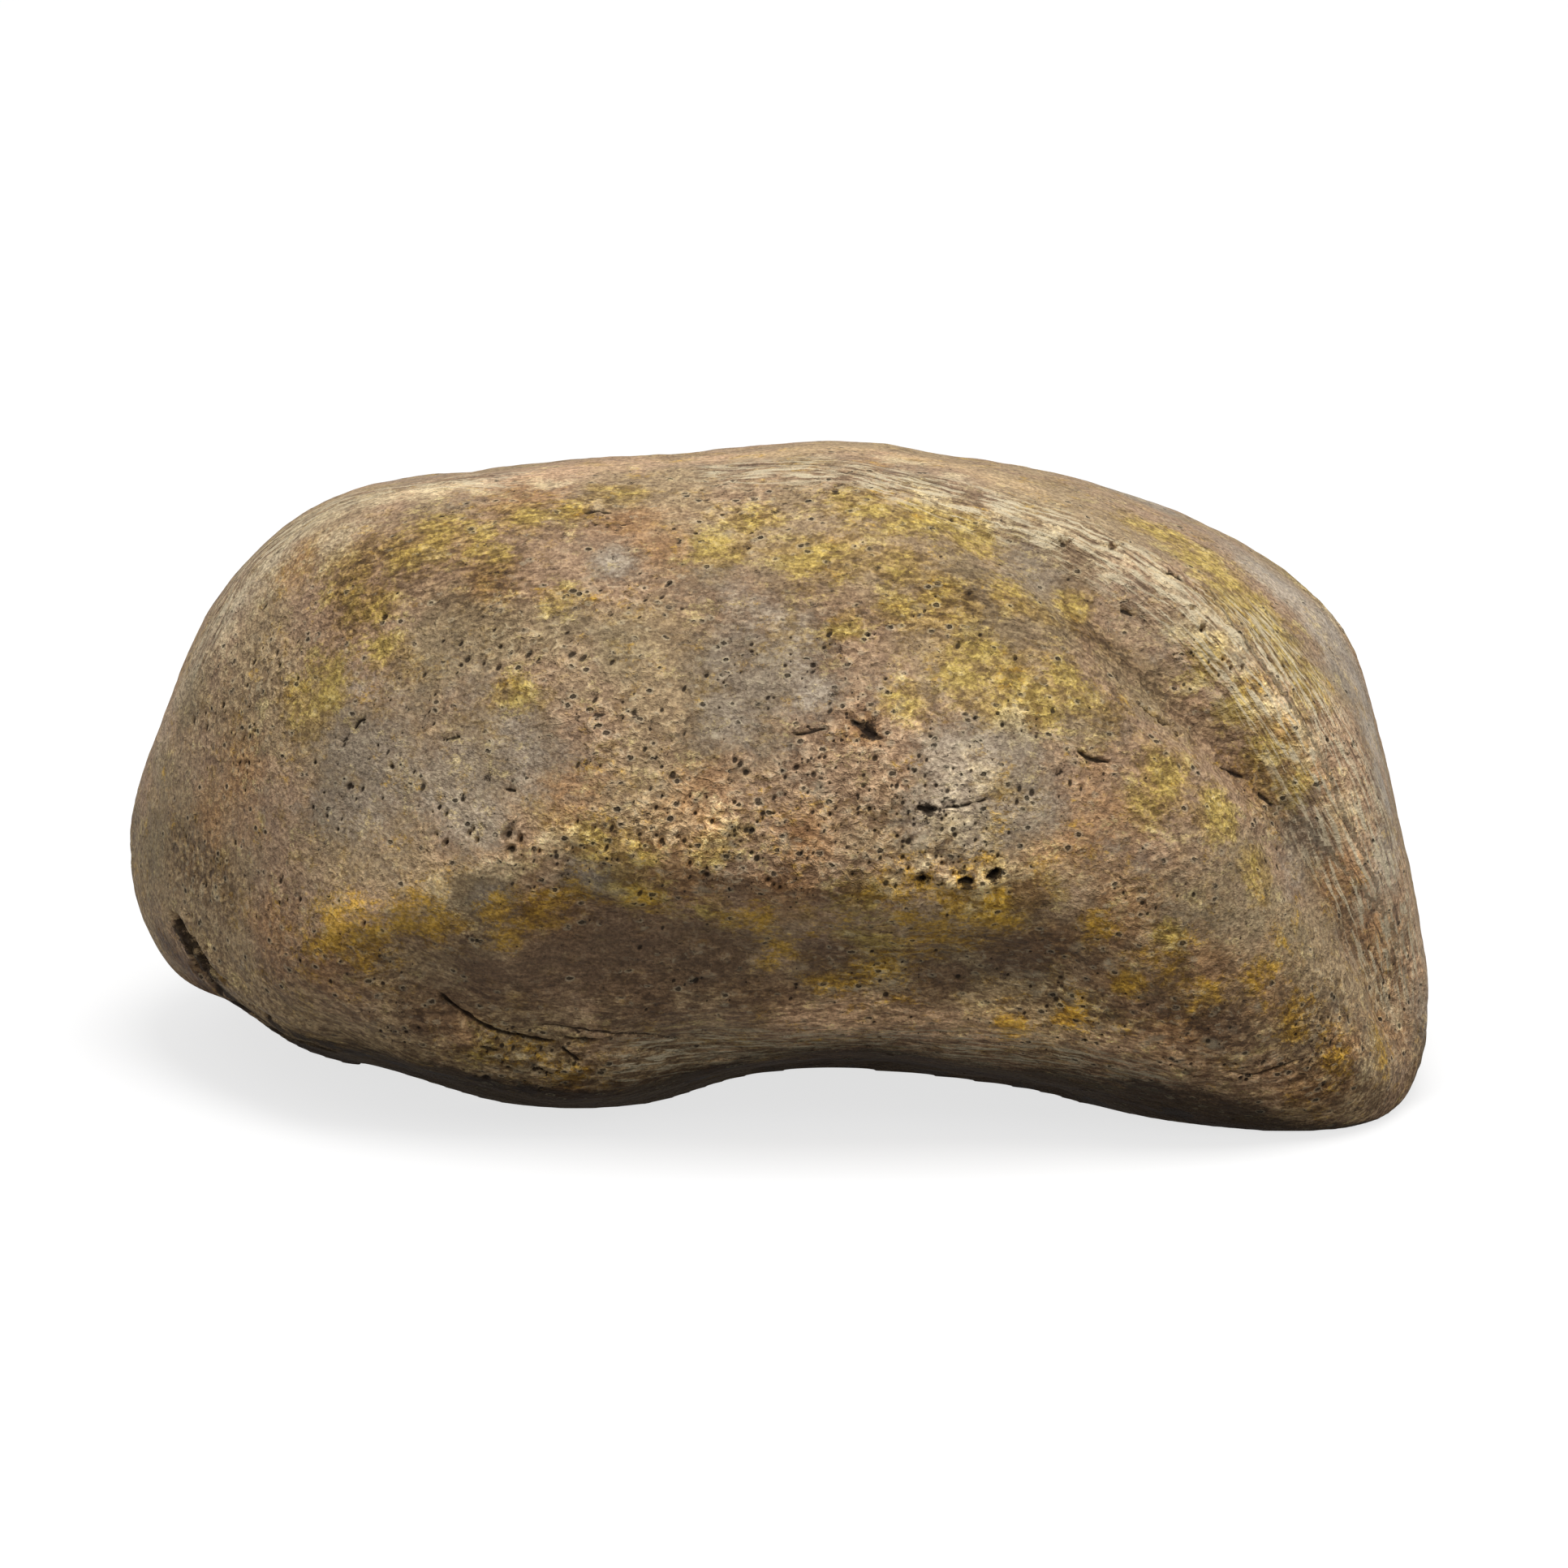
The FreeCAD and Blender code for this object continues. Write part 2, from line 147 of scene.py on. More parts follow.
def smooth_line(places):
    """More places along a smooth curve through the given ones."""
    places = np.array(places, dtype=float)
    ends = np.vstack([2 * places[0] - places[1], places, 2 * places[-1] - places[-2]])
    line = []
    for before, start, end, after in zip(ends, ends[1:], ends[2:], ends[3:]):
        for t in np.arange(CURVE_STEPS) / CURVE_STEPS:
            line.append(
                start
                + 0.5 * t * (end - before)
                + t**2 * (before - 2.5 * start + 2 * end - 0.5 * after)
                + t**3 * (1.5 * (start - end) + 0.5 * (after - before))
            )
    return np.array([*line, places[-1]])


def line_on_stone(places, turned=0):
    """Smooth line on the stone through places of the picture."""
    return np.array([on_stone(*place, turned) for place in smooth_line(places)])


print("the middle of the picture meets the stone at", on_stone(966, 966).round(1), "mm")

# %% [markdown]
# ## An even net over the stone
#
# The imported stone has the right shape, but its triangles follow the needs of the CAD programme: long
# in one place and tiny in another.  Relief needs an even net.  A voxel remesh gives one: it fills
# the stone with small cubes and wraps a fresh net of squares around them, all about one cube wide.
# The wrap shows faint terraces, which a few passes of smoothing take out.

# %% Net
NET = 0.38
SMOOTHING = 4
POCKET_NET_KEPT = 0.1

stone = new_object("stone", stone_node.data.copy())
stone.data.materials.clear()


def set_by_modifiers(piece):
    """Replace a piece's mesh by what its modifiers make of it."""
    evaluated = piece.evaluated_get(bpy.context.evaluated_depsgraph_get())
    made = bpy.data.meshes.new_from_object(evaluated)
    piece.modifiers.clear()
    piece.data = made


def corners_of(mesh):
    """The corners of a mesh in mm, and the direction straight out of the skin at each."""
    places = np.empty(len(mesh.vertices) * 3)
    mesh.vertices.foreach_get("co", places)
    outward = np.empty(len(mesh.vertices) * 3)
    mesh.vertex_normals.foreach_get("vector", outward)
    return places.reshape(-1, 3) / MM, outward.reshape(-1, 3)


remesh = stone.modifiers.new("net", "REMESH")
remesh.mode = "VOXEL"
remesh.voxel_size = NET * MM
smooth = stone.modifiers.new("smooth", "SMOOTH")
smooth.factor = 0.5
smooth.iterations = SMOOTHING
set_by_modifiers(stone)
print("the stone's net has", len(stone.data.vertices), "corners")

# %% [markdown]
# ## Which part of the stone is seen
#
# The recess for the key box, the pocket above it and the slot that the cover slides out through
# were shaped by the mould's core: they are smooth and have exact sizes.  The relief must fade out
# before it reaches them, and before it reaches the ground.  Their places follow from the boxes of
# the pieces that fit in them.
#
# `core_distance` says how far a corner is from the core.  The corners inside it need no fine net, so
# a Decimate modifier that is limited to them saves most of their faces.

# %% Core
CORE_CLEARANCE = 0.6


def core_blocks():
    """Lowest and highest corners, in mm, of the blocks of the mould's core."""
    recess_low, recess_high = in_mm(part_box("cover_frame"))
    slot_low, slot_high = in_mm(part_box("sliding_cover"))
    blocks = [
        (recess_low * (1, 1, 0), recess_high),
        in_mm(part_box("key_tub")),
        (np.array([BOX_LOW[0], slot_low[1], 0]), slot_high),
    ]
    return [(low - CORE_CLEARANCE, high + CORE_CLEARANCE) for low, high in blocks]


def core_distance(places):
    """Distance in mm from each place to the mould's core."""
    nearest = np.full(len(places), np.inf)
    for low, high in core_blocks():
        beyond = np.maximum(np.maximum(low - places, places - high), 0)
        nearest = np.minimum(nearest, np.linalg.norm(beyond, axis=1))
    return nearest


def ease(values, low, high):
    """Smooth step: 0 below low, 1 above high."""
    share = np.clip((values - low) / (high - low), 0, 1)
    return share * share * (3 - 2 * share)


places, outward = corners_of(stone.data)
inside = np.flatnonzero(core_distance(places) == 0)
pocket_corners = stone.vertex_groups.new(name="pocket")
pocket_corners.add(inside.tolist(), 1.0, "REPLACE")
decimate = stone.modifiers.new("pocket", "DECIMATE")
decimate.ratio = 1 - (1 - POCKET_NET_KEPT) * len(inside) / len(places)
decimate.vertex_group = pocket_corners.name
decimate.vertex_group_factor = 1.0
set_by_modifiers(stone)
print("corners in the pocket:", len(inside), "left in all:", len(stone.data.vertices))

# %% [markdown]
# ## Cracks, creases and edges
#
# A real stone breaks along lines, and each line has a profile.  A **crack** is a narrow, deep slot.
# We write it as (width, depth, places), with width and depth in mm and places as they are seen from
# the front.

# %% Cracks
CRACKS = [
    # lower left: the long fissure along the rim, and the slit over the flake
    (0.55, 1.3, [(206, 1122), (214, 1134), (224, 1144), (232, 1160), (246, 1172), (252, 1190),
                 (270, 1206), (284, 1222)]),
    (0.46, 1.1, [(222, 1158), (236, 1180), (240, 1196), (262, 1212), (276, 1230), (300, 1242),
                 (330, 1262)]),
    (0.34, 0.9, [(240, 1168), (262, 1196), (286, 1214), (300, 1232), (326, 1248), (352, 1262)]),
    (0.50, 0.9, [(300, 1250), (330, 1266), (370, 1284), (420, 1300)]),
    (0.26, 0.5, [(690, 1282), (725, 1284), (762, 1279)]),
    (0.22, 0.45, [(532, 1215), (551, 1236), (577, 1256), (606, 1272), (650, 1284), (700, 1290)]),
    (0.10, 0.20, [(650, 1262), (725, 1270), (800, 1275), (852, 1284)]),
    (0.14, 0.35, [(590, 1288), (604, 1294), (616, 1296)]),
    (0.16, 0.35, [(690, 1296), (702, 1302), (716, 1311)]),
    (0.16, 0.35, [(664, 1314), (669, 1322)]),
    # middle left
    (0.09, 0.25, [(534, 911), (552, 911), (571, 905)]),
    (0.12, 0.25, [(620, 972), (636, 975)]),
    (0.07, 0.10, [(692, 884), (745, 881), (790, 885), (815, 893)]),
    (0.14, 0.30, [(435, 900), (443, 889), (452, 886)]),
    (0.09, 0.22, [(420, 916), (432, 903)]),
    # the bump over the ledge
    (0.12, 0.30, [(975, 904), (992, 903), (1010, 898), (1022, 897)]),
    (0.32, 0.40, [(1044, 884), (1060, 892), (1078, 906), (1092, 909)]),
    (0.28, 0.50, [(1128, 994), (1140, 998), (1158, 997)]),
    (0.11, 0.28, [(1156, 997), (1192, 992), (1220, 984)]),
    (0.26, 0.80, [(1134, 1080), (1141, 1090)]),
    (0.26, 0.80, [(1178, 1086), (1190, 1084), (1201, 1087)]),
    (0.28, 0.90, [(1213, 1083), (1225, 1077), (1232, 1070)]),
    (0.24, 0.35, [(718, 632), (734, 628), (750, 630)]),
    # the right shoulder
    (0.22, 0.60, [(1398, 862), (1420, 877), (1441, 891), (1459, 901)]),
    (0.26, 0.60, [(1442, 893), (1459, 902)]),
    (0.20, 0.40, [(1326, 921), (1346, 934), (1372, 938)]),
    (0.10, 0.25, [(1300, 957), (1312, 949)]),
    (0.12, 0.30, [(1506, 941), (1524, 950), (1541, 958)]),
    (0.12, 0.30, [(1555, 976), (1575, 996)]),
    (0.18, 0.45, [(1430, 705), (1459, 716), (1482, 733)]),
    (0.10, 0.25, [(1555, 804), (1571, 821)]),
    (0.13, 0.30, [(1380, 748), (1397, 757)]),
    (0.12, 0.25, [(1695, 974), (1704, 987)]),
    (0.13, 0.30, [(1506, 1320), (1545, 1325), (1580, 1315), (1604, 1306)]),
    (0.14, 0.30, [(1325, 1341), (1350, 1346)]),
]
print("cracks on the front:", len(CRACKS), "- the narrowest is", min(CRACKS)[0], "mm wide")

# %% [markdown]
# A **crease** is a wide, soft valley.  An **edge** is a line along which the surface swells, so its
# depth is negative.  A **ledge** is a step: above its line the surface stands out, and below the
# line it falls back.

# %% Creases, edges and ledges
CREASES = [
    # the undercut of the flake, the foot of the shoulder and the hollow under the bump
    (1.2, 0.35, [(520, 1208), (551, 1236), (606, 1272), (680, 1291), (780, 1290), (860, 1296)]),
    (2.2, 0.60, [(1330, 730), (1400, 790), (1460, 865), (1530, 950), (1600, 1030), (1668, 1120)]),
    (1.6, 0.35, [(700, 1115), (770, 1130), (860, 1150), (930, 1185)]),
]
EDGES = [
    # the strand along the shoulder, the lip of the fissure and the rim of the flake
    (1.8, -0.45, [(1130, 606), (1330, 670), (1430, 716), (1510, 796), (1590, 900), (1650, 1000)]),
    (1.3, -0.40, [(1380, 905), (1450, 935), (1510, 978), (1570, 1022), (1620, 1092), (1656, 1180)]),
    (0.9, -0.25, [(212, 1108), (232, 1142), (262, 1182), (300, 1222), (360, 1256), (430, 1284)]),
    (0.6, -0.25, [(540, 1240), (590, 1290), (660, 1314), (740, 1318)]),
]
LEDGES = [
    # (softness, drop, places): under the left face, over the front and under the bump
    (0.9, 0.80, [(375, 1172), (450, 1142), (520, 1110), (600, 1074), (680, 1050), (750, 1036)]),
    (1.0, 0.60, [(750, 1040), (800, 1056), (860, 1082), (940, 1098), (1020, 1106), (1090, 1100)]),
    (0.35, 1.0, [(1100, 1090), (1137, 1076), (1166, 1094), (1206, 1098), (1240, 1088), (1268, 1060)]),
]
print("creases, edges and ledges on the front:", len(CREASES), len(EDGES), len(LEDGES))

# %% [markdown]
# The back has fewer lines of the same kinds, placed as they are seen from there.  Then all lines of
# both sides are laid on the stone.

# %% Lines of the back, and all lines laid on the stone
BACK_CRACKS = [
    (0.18, 0.50, [(560, 880), (600, 902), (650, 910), (705, 935)]),
    (0.12, 0.30, [(1010, 1010), (1042, 1000), (1085, 1012), (1120, 1004)]),
    (0.15, 0.35, [(1345, 905), (1362, 940), (1400, 962)]),
    (0.12, 0.30, [(820, 780), (872, 772), (905, 781)]),
]
BACK_CREASES = [
    (1.3, 0.40, [(330, 960), (430, 930), (560, 876), (700, 850), (850, 862)]),
    (1.1, 0.30, [(930, 1120), (1060, 1100), (1200, 1108), (1340, 1060)]),
]
BACK_LEDGES = [
    (0.9, 0.50, [(420, 1130), (560, 1080), (720, 1066), (880, 1090), (1010, 1072)]),
    (0.7, 0.40, [(1120, 760), (1240, 742), (1370, 780), (1470, 850)]),
]

SIDES = [
    # (turn in degrees, lines, ledges)
    (0, CRACKS + CREASES + EDGES, LEDGES),
    (180, BACK_CRACKS + BACK_CREASES, BACK_LEDGES),
]
LINES = []
STEPS = []
for turned, lines, ledges in SIDES:
    LINES += [(width, depth, line_on_stone(way, turned)) for width, depth, way in lines]
    STEPS += [(softness, drop, line_on_stone(way, turned)) for softness, drop, way in ledges]
print("lines on the stone:", len(LINES), "and ledges:", len(STEPS))

# %% [markdown]
# ## Rough ground and pits
#
# Small bubbles and lost grains leave pits.  They aren't spread evenly: they crowd where the stone
# weathered most, and most are tiny.  `ROUGH_PLACES` lists that rough ground as (across, down, radius
# in mm, pits), and the back gets as much of it by a seeded draw, which gives the same on every run.
#
# Each pit is put on one of the net's corners and gets a radius and a stretch: where the stone was
# dragged in its bed, on the left, pits are long and lean the same way.

# %% Rough ground and pits
ROUGH_PLACES = [
    # the left face
    (262, 880, 2.6, 14), (330, 830, 3.0, 16), (300, 930, 3.0, 14), (250, 1080, 3.0, 18),
    (420, 990, 2.6, 12), (350, 1120, 3.0, 12), (560, 1000, 2.8, 12), (470, 900, 2.6, 12),
    # the upper face
    (560, 820, 3.0, 8), (660, 790, 3.6, 14), (760, 730, 3.6, 14), (740, 630, 2.8, 12),
    (900, 620, 3.4, 16), (1010, 610, 3.0, 12), (760, 900, 3.4, 16), (860, 950, 3.2, 16),
    (930, 830, 3.0, 18), (1030, 800, 2.8, 16), (1130, 760, 2.6, 8), (620, 620, 2.4, 6),
    # the bump, and the ledge to the left of it
    (1060, 890, 2.4, 26), (1000, 960, 3.0, 30), (1080, 980, 2.8, 30), (1160, 940, 3.0, 22),
    (1150, 1020, 3.0, 26), (1220, 1000, 3.0, 18), (1090, 1060, 2.8, 30), (1190, 1070, 2.4, 26),
    (1260, 880, 2.6, 12), (1330, 930, 2.4, 12), (980, 1050, 3.0, 26), (900, 1040, 3.0, 28),
    (800, 1030, 3.0, 26), (720, 1060, 2.8, 22), (650, 1060, 2.6, 16), (860, 1090, 2.6, 16),
    # the front, the right lobe and the shoulder
    (1080, 1190, 3.4, 22), (1200, 1180, 3.0, 16), (1330, 1230, 4.0, 26), (1480, 1290, 3.4, 24),
    (1400, 1100, 3.4, 14), (1620, 1290, 3.6, 26), (1700, 1220, 3.2, 20), (1540, 1000, 2.6, 10),
    (1480, 820, 2.4, 10), (1640, 900, 2.6, 10), (620, 1290, 3.0, 18), (700, 1320, 2.6, 16),
    (460, 1200, 2.6, 14), (500, 1260, 2.6, 12), (850, 1210, 3.4, 12), (1090, 1270, 3.4, 10),
]
BACK_ROUGH_PLACES = 42
LOOSE_PITS = 200
PIT_RADIUS = 0.10
LARGEST_PIT = 0.23
MARKS_FROM_CORE = 1.5
PITS_FROM_GROUND = 1.0
DRAG = (0.35, -0.2, 0.92)
draw = np.random.default_rng(11)


def unseen(chosen):
    """Numbers of those of the chosen corners that don't show from the front."""
    return np.flatnonzero(chosen & (outward @ TO_FRONT < 0.05))


def tree_of(spots):
    """Search tree that finds the spots near a place."""
    tree = KDTree(len(spots))
    for number, spot in enumerate(spots):
        tree.insert(spot, number)
    tree.balance()
    return tree


places, outward = corners_of(stone.data)
on_skin = (core_distance(places) > MARKS_FROM_CORE) & (places[:, 2] > PITS_FROM_GROUND)
rough = [(on_stone(across, down), radius, count) for across, down, radius, count in ROUGH_PLACES]
for number in draw.choice(unseen(on_skin), BACK_ROUGH_PLACES, replace=False):
    rough.append((places[number], draw.uniform(2.2, 3.8), draw.integers(8, 28)))
tree = tree_of(places)
pit_corners = set(draw.choice(np.flatnonzero(on_skin), LOOSE_PITS, replace=False).tolist())
for centre, radius, count in rough:
    for step in draw.normal(0, 0.6 * radius, (count, 3)):
        number = tree.find(centre + step)[1]
        if on_skin[number]:
            pit_corners.add(number)
pit_places, pit_outward = places[sorted(pit_corners)], outward[sorted(pit_corners)]
pit_radii = np.minimum(PIT_RADIUS * draw.lognormal(0.0, 0.40, len(pit_places)), LARGEST_PIT)
pit_lean = np.cross(np.cross(pit_outward, DRAG), pit_outward)
pit_lean /= np.linalg.norm(pit_lean, axis=1)[:, None]
pit_stretch = 1 + draw.random(len(pit_places)) * np.where(pit_places[:, 0] < -5, 1.3, 0.7)
print("pits:", len(pit_places), "with radii up to", pit_radii.max().round(2), "mm")

# %% [markdown]
# ## A finer net where it is needed
#
# A crack of 0.2 mm can't be pressed into a net of 0.4 mm squares.

# %% Refine the net near the marks
WIDEST_CRACK = 1.0
REACH_OF_LINE = 2.5
DOT_SPACING = 0.2


def cracks_as_dots():
    """The cracks as closely set dots, each with the reach of its crack."""
    dots, reaches = [], []
    for width, depth, line in LINES:
        if depth > 0 and width < WIDEST_CRACK:
            for start, end in zip(line, line[1:]):
                count = max(1, math.ceil(np.linalg.norm(end - start) / DOT_SPACING))
                dots += [start + (end - start) * n / count for n in range(count)]
                reaches += [width * REACH_OF_LINE] * count
    return dots, reaches


def halve_near(mesh, dots, reaches):
    """Halve every edge of the net that has both ends near a dot."""
    tree = tree_of(dots)
    work = bmesh.new()
    work.from_mesh(mesh)
    near = set()
    for vertex in work.verts:
        _, number, away = tree.find(vertex.co / MM)
        if away < reaches[number]:
            near.add(vertex)
    edges = [edge for edge in work.edges if edge.verts[0] in near and edge.verts[1] in near]
    bmesh.ops.subdivide_edges(work, edges=edges, cuts=1, use_grid_fill=True)
    work.to_mesh(mesh)
    work.free()
    return len(edges)


crack_dots, crack_reaches = cracks_as_dots()
dots = crack_dots + list(pit_places)
for spare in [NET, NET / 2]:
    pit_reaches = (1.3 * pit_radii * pit_stretch + spare).tolist()
    count = halve_near(stone.data, dots, crack_reaches + pit_reaches)
    print("edges halved:", count)
places, outward = corners_of(stone.data)
print("the net now has", len(places), "corners")

# %% [markdown]
# ## Press the relief into the skin
#
# Every corner is pushed in or out along its own outward direction.  The push is a sum of layers,
# and each layer is one of the things that shaped a real stone: slow waves from tumbling, a fine
# grain, the long strands of its bedding, and then the marks from the lists.
#
# The strands run along the shoulder and along the upper left rim.  For them we need to know, for
# each corner, how far along such a guide line it lies and how far beside it.  Clouds that are
# stretched in those two directions make strands that follow the bends of the stone.

# %% Layers of relief
STRAND_GUIDES = [
    # (reach in mm, places from the front)
    (3.0, [(800, 584), (905, 580), (1060, 584), (1200, 622), (1330, 664), (1430, 722), (1520, 806),
           (1596, 912), (1662, 1030), (1716, 1150), (1742, 1260)]),
    (5.0, [(1480, 700), (1560, 790), (1640, 920), (1690, 1060), (1725, 1200), (1735, 1290)]),
    (3.5, [(215, 860), (250, 790), (300, 706), (362, 650), (440, 612), (560, 592), (700, 588)]),
    (3.5, [(700, 1312), (900, 1296), (1060, 1290), (1250, 1300), (1400, 1330), (1500, 1350)]),
]
STRAND_FADE = 6.0
STRAND_LENGTH = 6.0
STRAND_WIDTH = 0.6


def clouds(spots, size, octaves, shift=0.0):
    """Random relief from about -1 to 1; its largest lumps are `size` mm across."""
    offset = Vector((shift, -shift, 2 * shift))
    return np.array(
        [noise.fractal(Vector(spot) / size + offset, 1.0, 2.0, octaves) for spot in spots]
    )


def bell(away, width):
    """Bell curve that is 1 at no distance and 0.37 at the given width."""
    return np.exp(-((away / width) ** 2))


def ease_ends(along, length):
    """0 at both ends of a line, and 1 further than a length from them."""
    return ease(along, 0.0, length) * ease(along.max() - along, 0.0, length)


def beside(line, reach):
    """Numbers of the corners near a line, how far along it they lie and how far beside it.

    How far beside is less than 0 to one side.
    """
    middle = line.mean(axis=0)
    radius = np.linalg.norm(line - middle, axis=1).max() + reach
    near = np.flatnonzero(np.linalg.norm(places - middle, axis=1) < radius)
    spots, facing = places[near], outward[near]
    nearest = np.full(len(near), np.inf)
    along = np.zeros(len(near))
    side = np.ones(len(near))
    covered = 0.0
    for start, end in zip(line, line[1:]):
        run = end - start
        length = np.linalg.norm(run)
        share = np.clip((spots - start) @ run / length**2, 0, 1)
        away = spots - start - share[:, None] * run
        distance = np.linalg.norm(away, axis=1)
        closer = distance < nearest
        nearest[closer] = distance[closer]
        along[closer] = covered + share[closer] * length
        turned = np.einsum("ij,ij->i", np.cross(facing[closer], run), away[closer])
        side[closer] = np.where(turned < 0, -1.0, 1.0)
        covered += length
    return near, along, nearest * side


flow = np.zeros((len(places), 3))
strands = np.zeros(len(places))
for number, (reach, way) in enumerate(STRAND_GUIDES):
    near, along, across = beside(line_on_stone(way), 2 * reach)
    weight = bell(across, reach) * ease_ends(along, STRAND_FADE)
    stronger = weight > strands[near]
    chosen = near[stronger]
    strands[chosen] = weight[stronger]
    # 100 mm between guides, so that no two of them share their clouds
    flow[chosen, 0] = along[stronger] + 100 * number
    flow[chosen, 1] = across[stronger]
print("corners with strands:", int((strands > 0.3).sum()))

# %% [markdown]
# The layers are added up in mm.  `skin` fades them out near the mould's core and near the ground.
# The marks come last: a line's profile is a bell curve across it, and its width wavers along the way.

# %% Add the layers up
FULL_CROWD = 26
LEDGE_FADE = 4.0


def patch(centre, width):
    """For each corner: 1 at the centre of a round patch, and less the further off it lies."""
    return bell(np.linalg.norm(places - centre, axis=1), width)


skin = ease(core_distance(places), 0.4, 2.2) * ease(places[:, 2], 0.15, 1.6)
roughness = np.zeros(len(places))
for centre, radius, count in rough:
    here = min(1, count / FULL_CROWD) * patch(centre, 1.5 * radius)
    roughness = np.maximum(roughness, here)
waves = 0.20 * clouds(places, 13.0, 2) + 0.12 * clouds(places, 4.6, 3, shift=5.0)
grain = (0.035 + 0.085 * roughness) * clouds(places, 1.3, 4, shift=9.0)
stretched = flow / (STRAND_LENGTH, STRAND_WIDTH, 1.0)
fibres = 0.11 * strands * clouds(stretched, 1.0, 3, shift=2.0)

waver = clouds(places, 0.7, 2, shift=3.0)
marks = np.zeros(len(places))
slots = np.zeros(len(places))
for width, depth, line in LINES:
    near, along, across = beside(line, 4 * width)
    # a crack opens and closes along its way, and runs out in a point
    to_end = np.minimum(along, along.max() - along) / (0.5 * along.max())
    here = width * (0.35 + 0.65 * np.sqrt(to_end)) * (1 + 0.55 * waver[near])
    profile = bell(across, here) * ease(to_end, 0.0, 0.3)
    marks[near] -= depth * profile
    if depth > 0 and width < WIDEST_CRACK:
        slots[near] = np.maximum(slots[near], profile)
for softness, drop, line in STEPS:
    near, along, across = beside(line, 8 * softness)
    across += 0.8 * softness * waver[near]
    fade = bell(across, 4 * softness) * ease_ends(along, LEDGE_FADE)
    marks[near] += 0.5 * drop * np.tanh(across / softness) * fade

tree = tree_of(places)
pits = np.zeros(len(places))
for centre, radius, stretch, lean in zip(pit_places, pit_radii, pit_stretch, pit_lean):
    for place, number, _ in tree.find_range(centre, 2.2 * radius * stretch):
        away = np.array(place) - centre
        lengthwise = float(away @ lean)
        crosswise = math.sqrt(max(0.0, float(away @ away) - lengthwise**2))
        # the wavering makes the outline of a pit ragged
        reach = math.hypot(lengthwise / stretch, crosswise) / (1.5 * radius * (1 + 0.4 * waver[number]))
        if reach < 1:
            pits[number] = max(pits[number], (1 - reach * reach) ** 2)
            marks[number] = min(marks[number], -1.1 * radius * (1 - reach * reach) ** 2)

push = skin * (waves + grain + fibres + marks)
shaped = np.clip(places + outward * push[:, None], BOX_LOW, BOX_HIGH)
shaped[:, 2] = np.maximum(shaped[:, 2], 0)
stone.data.vertices.foreach_set("co", (shaped * MM).ravel())
stone.data.update()
stone.data.shade_smooth()
print("pushed in by at most", -push.min().round(2), "mm and out by", push.max().round(2), "mm")

# %% [markdown]
# ## Materials as recipes
#
# Every finish is a node tree.  Written out link by link a tree is hard to read, so a few small
# helpers let a recipe say what it means: `node` adds a node and feeds its sockets, `lay` puts one
# colour over another by a mask, and `mask` turns a raw texture into a mask with soft edges.  A
# recipe is a function that builds a shader, and `new_material` makes a material of it.
#
# Colours are written as the eye names them, in the 0 to 255 of a paint programme, and `paint` turns
# them into the linear values that the renderer works with.

# %% Node helpers
def paint(red, green, blue):
    """Linear colour of a paint given in 0 to 255."""
    return (*Color((red / 255, green / 255, blue / 255)).from_srgb_to_scene_linear(), 1.0)


def node(tree, kind, inputs, output=0, **settings):
    """Add a node, set it up, feed its inputs by name or number, and give back one of its outputs."""
    made = tree.nodes.new("ShaderNode" + kind)
    for name, value in settings.items():
        setattr(made, name, value)
    for key, value in inputs.items():
        if isinstance(value, bpy.types.NodeSocket):
            tree.links.new(value, made.inputs[key])
        else:
            made.inputs[key].default_value = value
    return made.outputs[output]


def maths(tree, operation, first, *others):
    """One kind of sum on two or more numbers."""
    for other in others:
        first = node(tree, "Math", {0: first, 1: other}, operation=operation)
    return first


def mask(tree, value, low, high, most=1.0):
    """0 below low, `most` above high, and soft between."""
    inputs = {"Value": value, 1: low, 2: high, 4: most}
    return node(tree, "MapRange", inputs, interpolation_type="SMOOTHSTEP")


def lay(tree, amount, under, over, share=1.0, blend="MIX"):
    """Lay one colour, or a share of it, over another where the amount says."""
    if share < 1:
        amount = maths(tree, "MULTIPLY", amount, share)
    inputs = {"Factor": amount, "A": under, "B": over}
    return node(tree, "Mix", inputs, output="Result", data_type="RGBA", blend_type=blend)


def cloud_texture(tree, place, size, detail=4.0, roughness=0.55, distortion=0.0):
    """Cloudy texture from 0 to 1 whose lumps are `size` mm across."""
    inputs = {
        "Vector": place, "Scale": 1 / (size * MM), "Detail": detail, "Roughness": roughness,
        "Distortion": distortion,
    }
    return node(tree, "TexNoise", inputs)


def cells_texture(tree, place, size):
    """Distance from the middle of the nearest of many cells of about `size` mm."""
    return node(tree, "TexVoronoi", {"Vector": place, "Scale": 1 / (size * MM)}, output="Distance")


def bump(tree, *reliefs):
    """Relief from (height, depth in mm), or from several of these on top of each other."""
    inputs = {}
    for height, depth in reliefs:
        inputs |= {"Height": height, "Distance": depth * MM}
        inputs["Normal"] = node(tree, "Bump", inputs)
    return inputs["Normal"]


def principled(tree, colour, roughness, normal, others=None):
    """Shader with a colour, a roughness, relief and other inputs."""
    inputs = {"Base Color": colour, "Roughness": roughness, "Normal": normal}
    return node(tree, "BsdfPrincipled", inputs | (others or {}))


def new_material(name, recipe, *details):
    """Material whose shader a recipe makes, from an empty tree and the details it asks for."""
    material = bpy.data.materials.new(name)
    material.use_nodes = True
    tree = material.node_tree
    tree.nodes.clear()
    output = tree.nodes.new("ShaderNodeOutputMaterial")
    tree.links.new(recipe(tree, *details), output.inputs["Surface"])
    return material


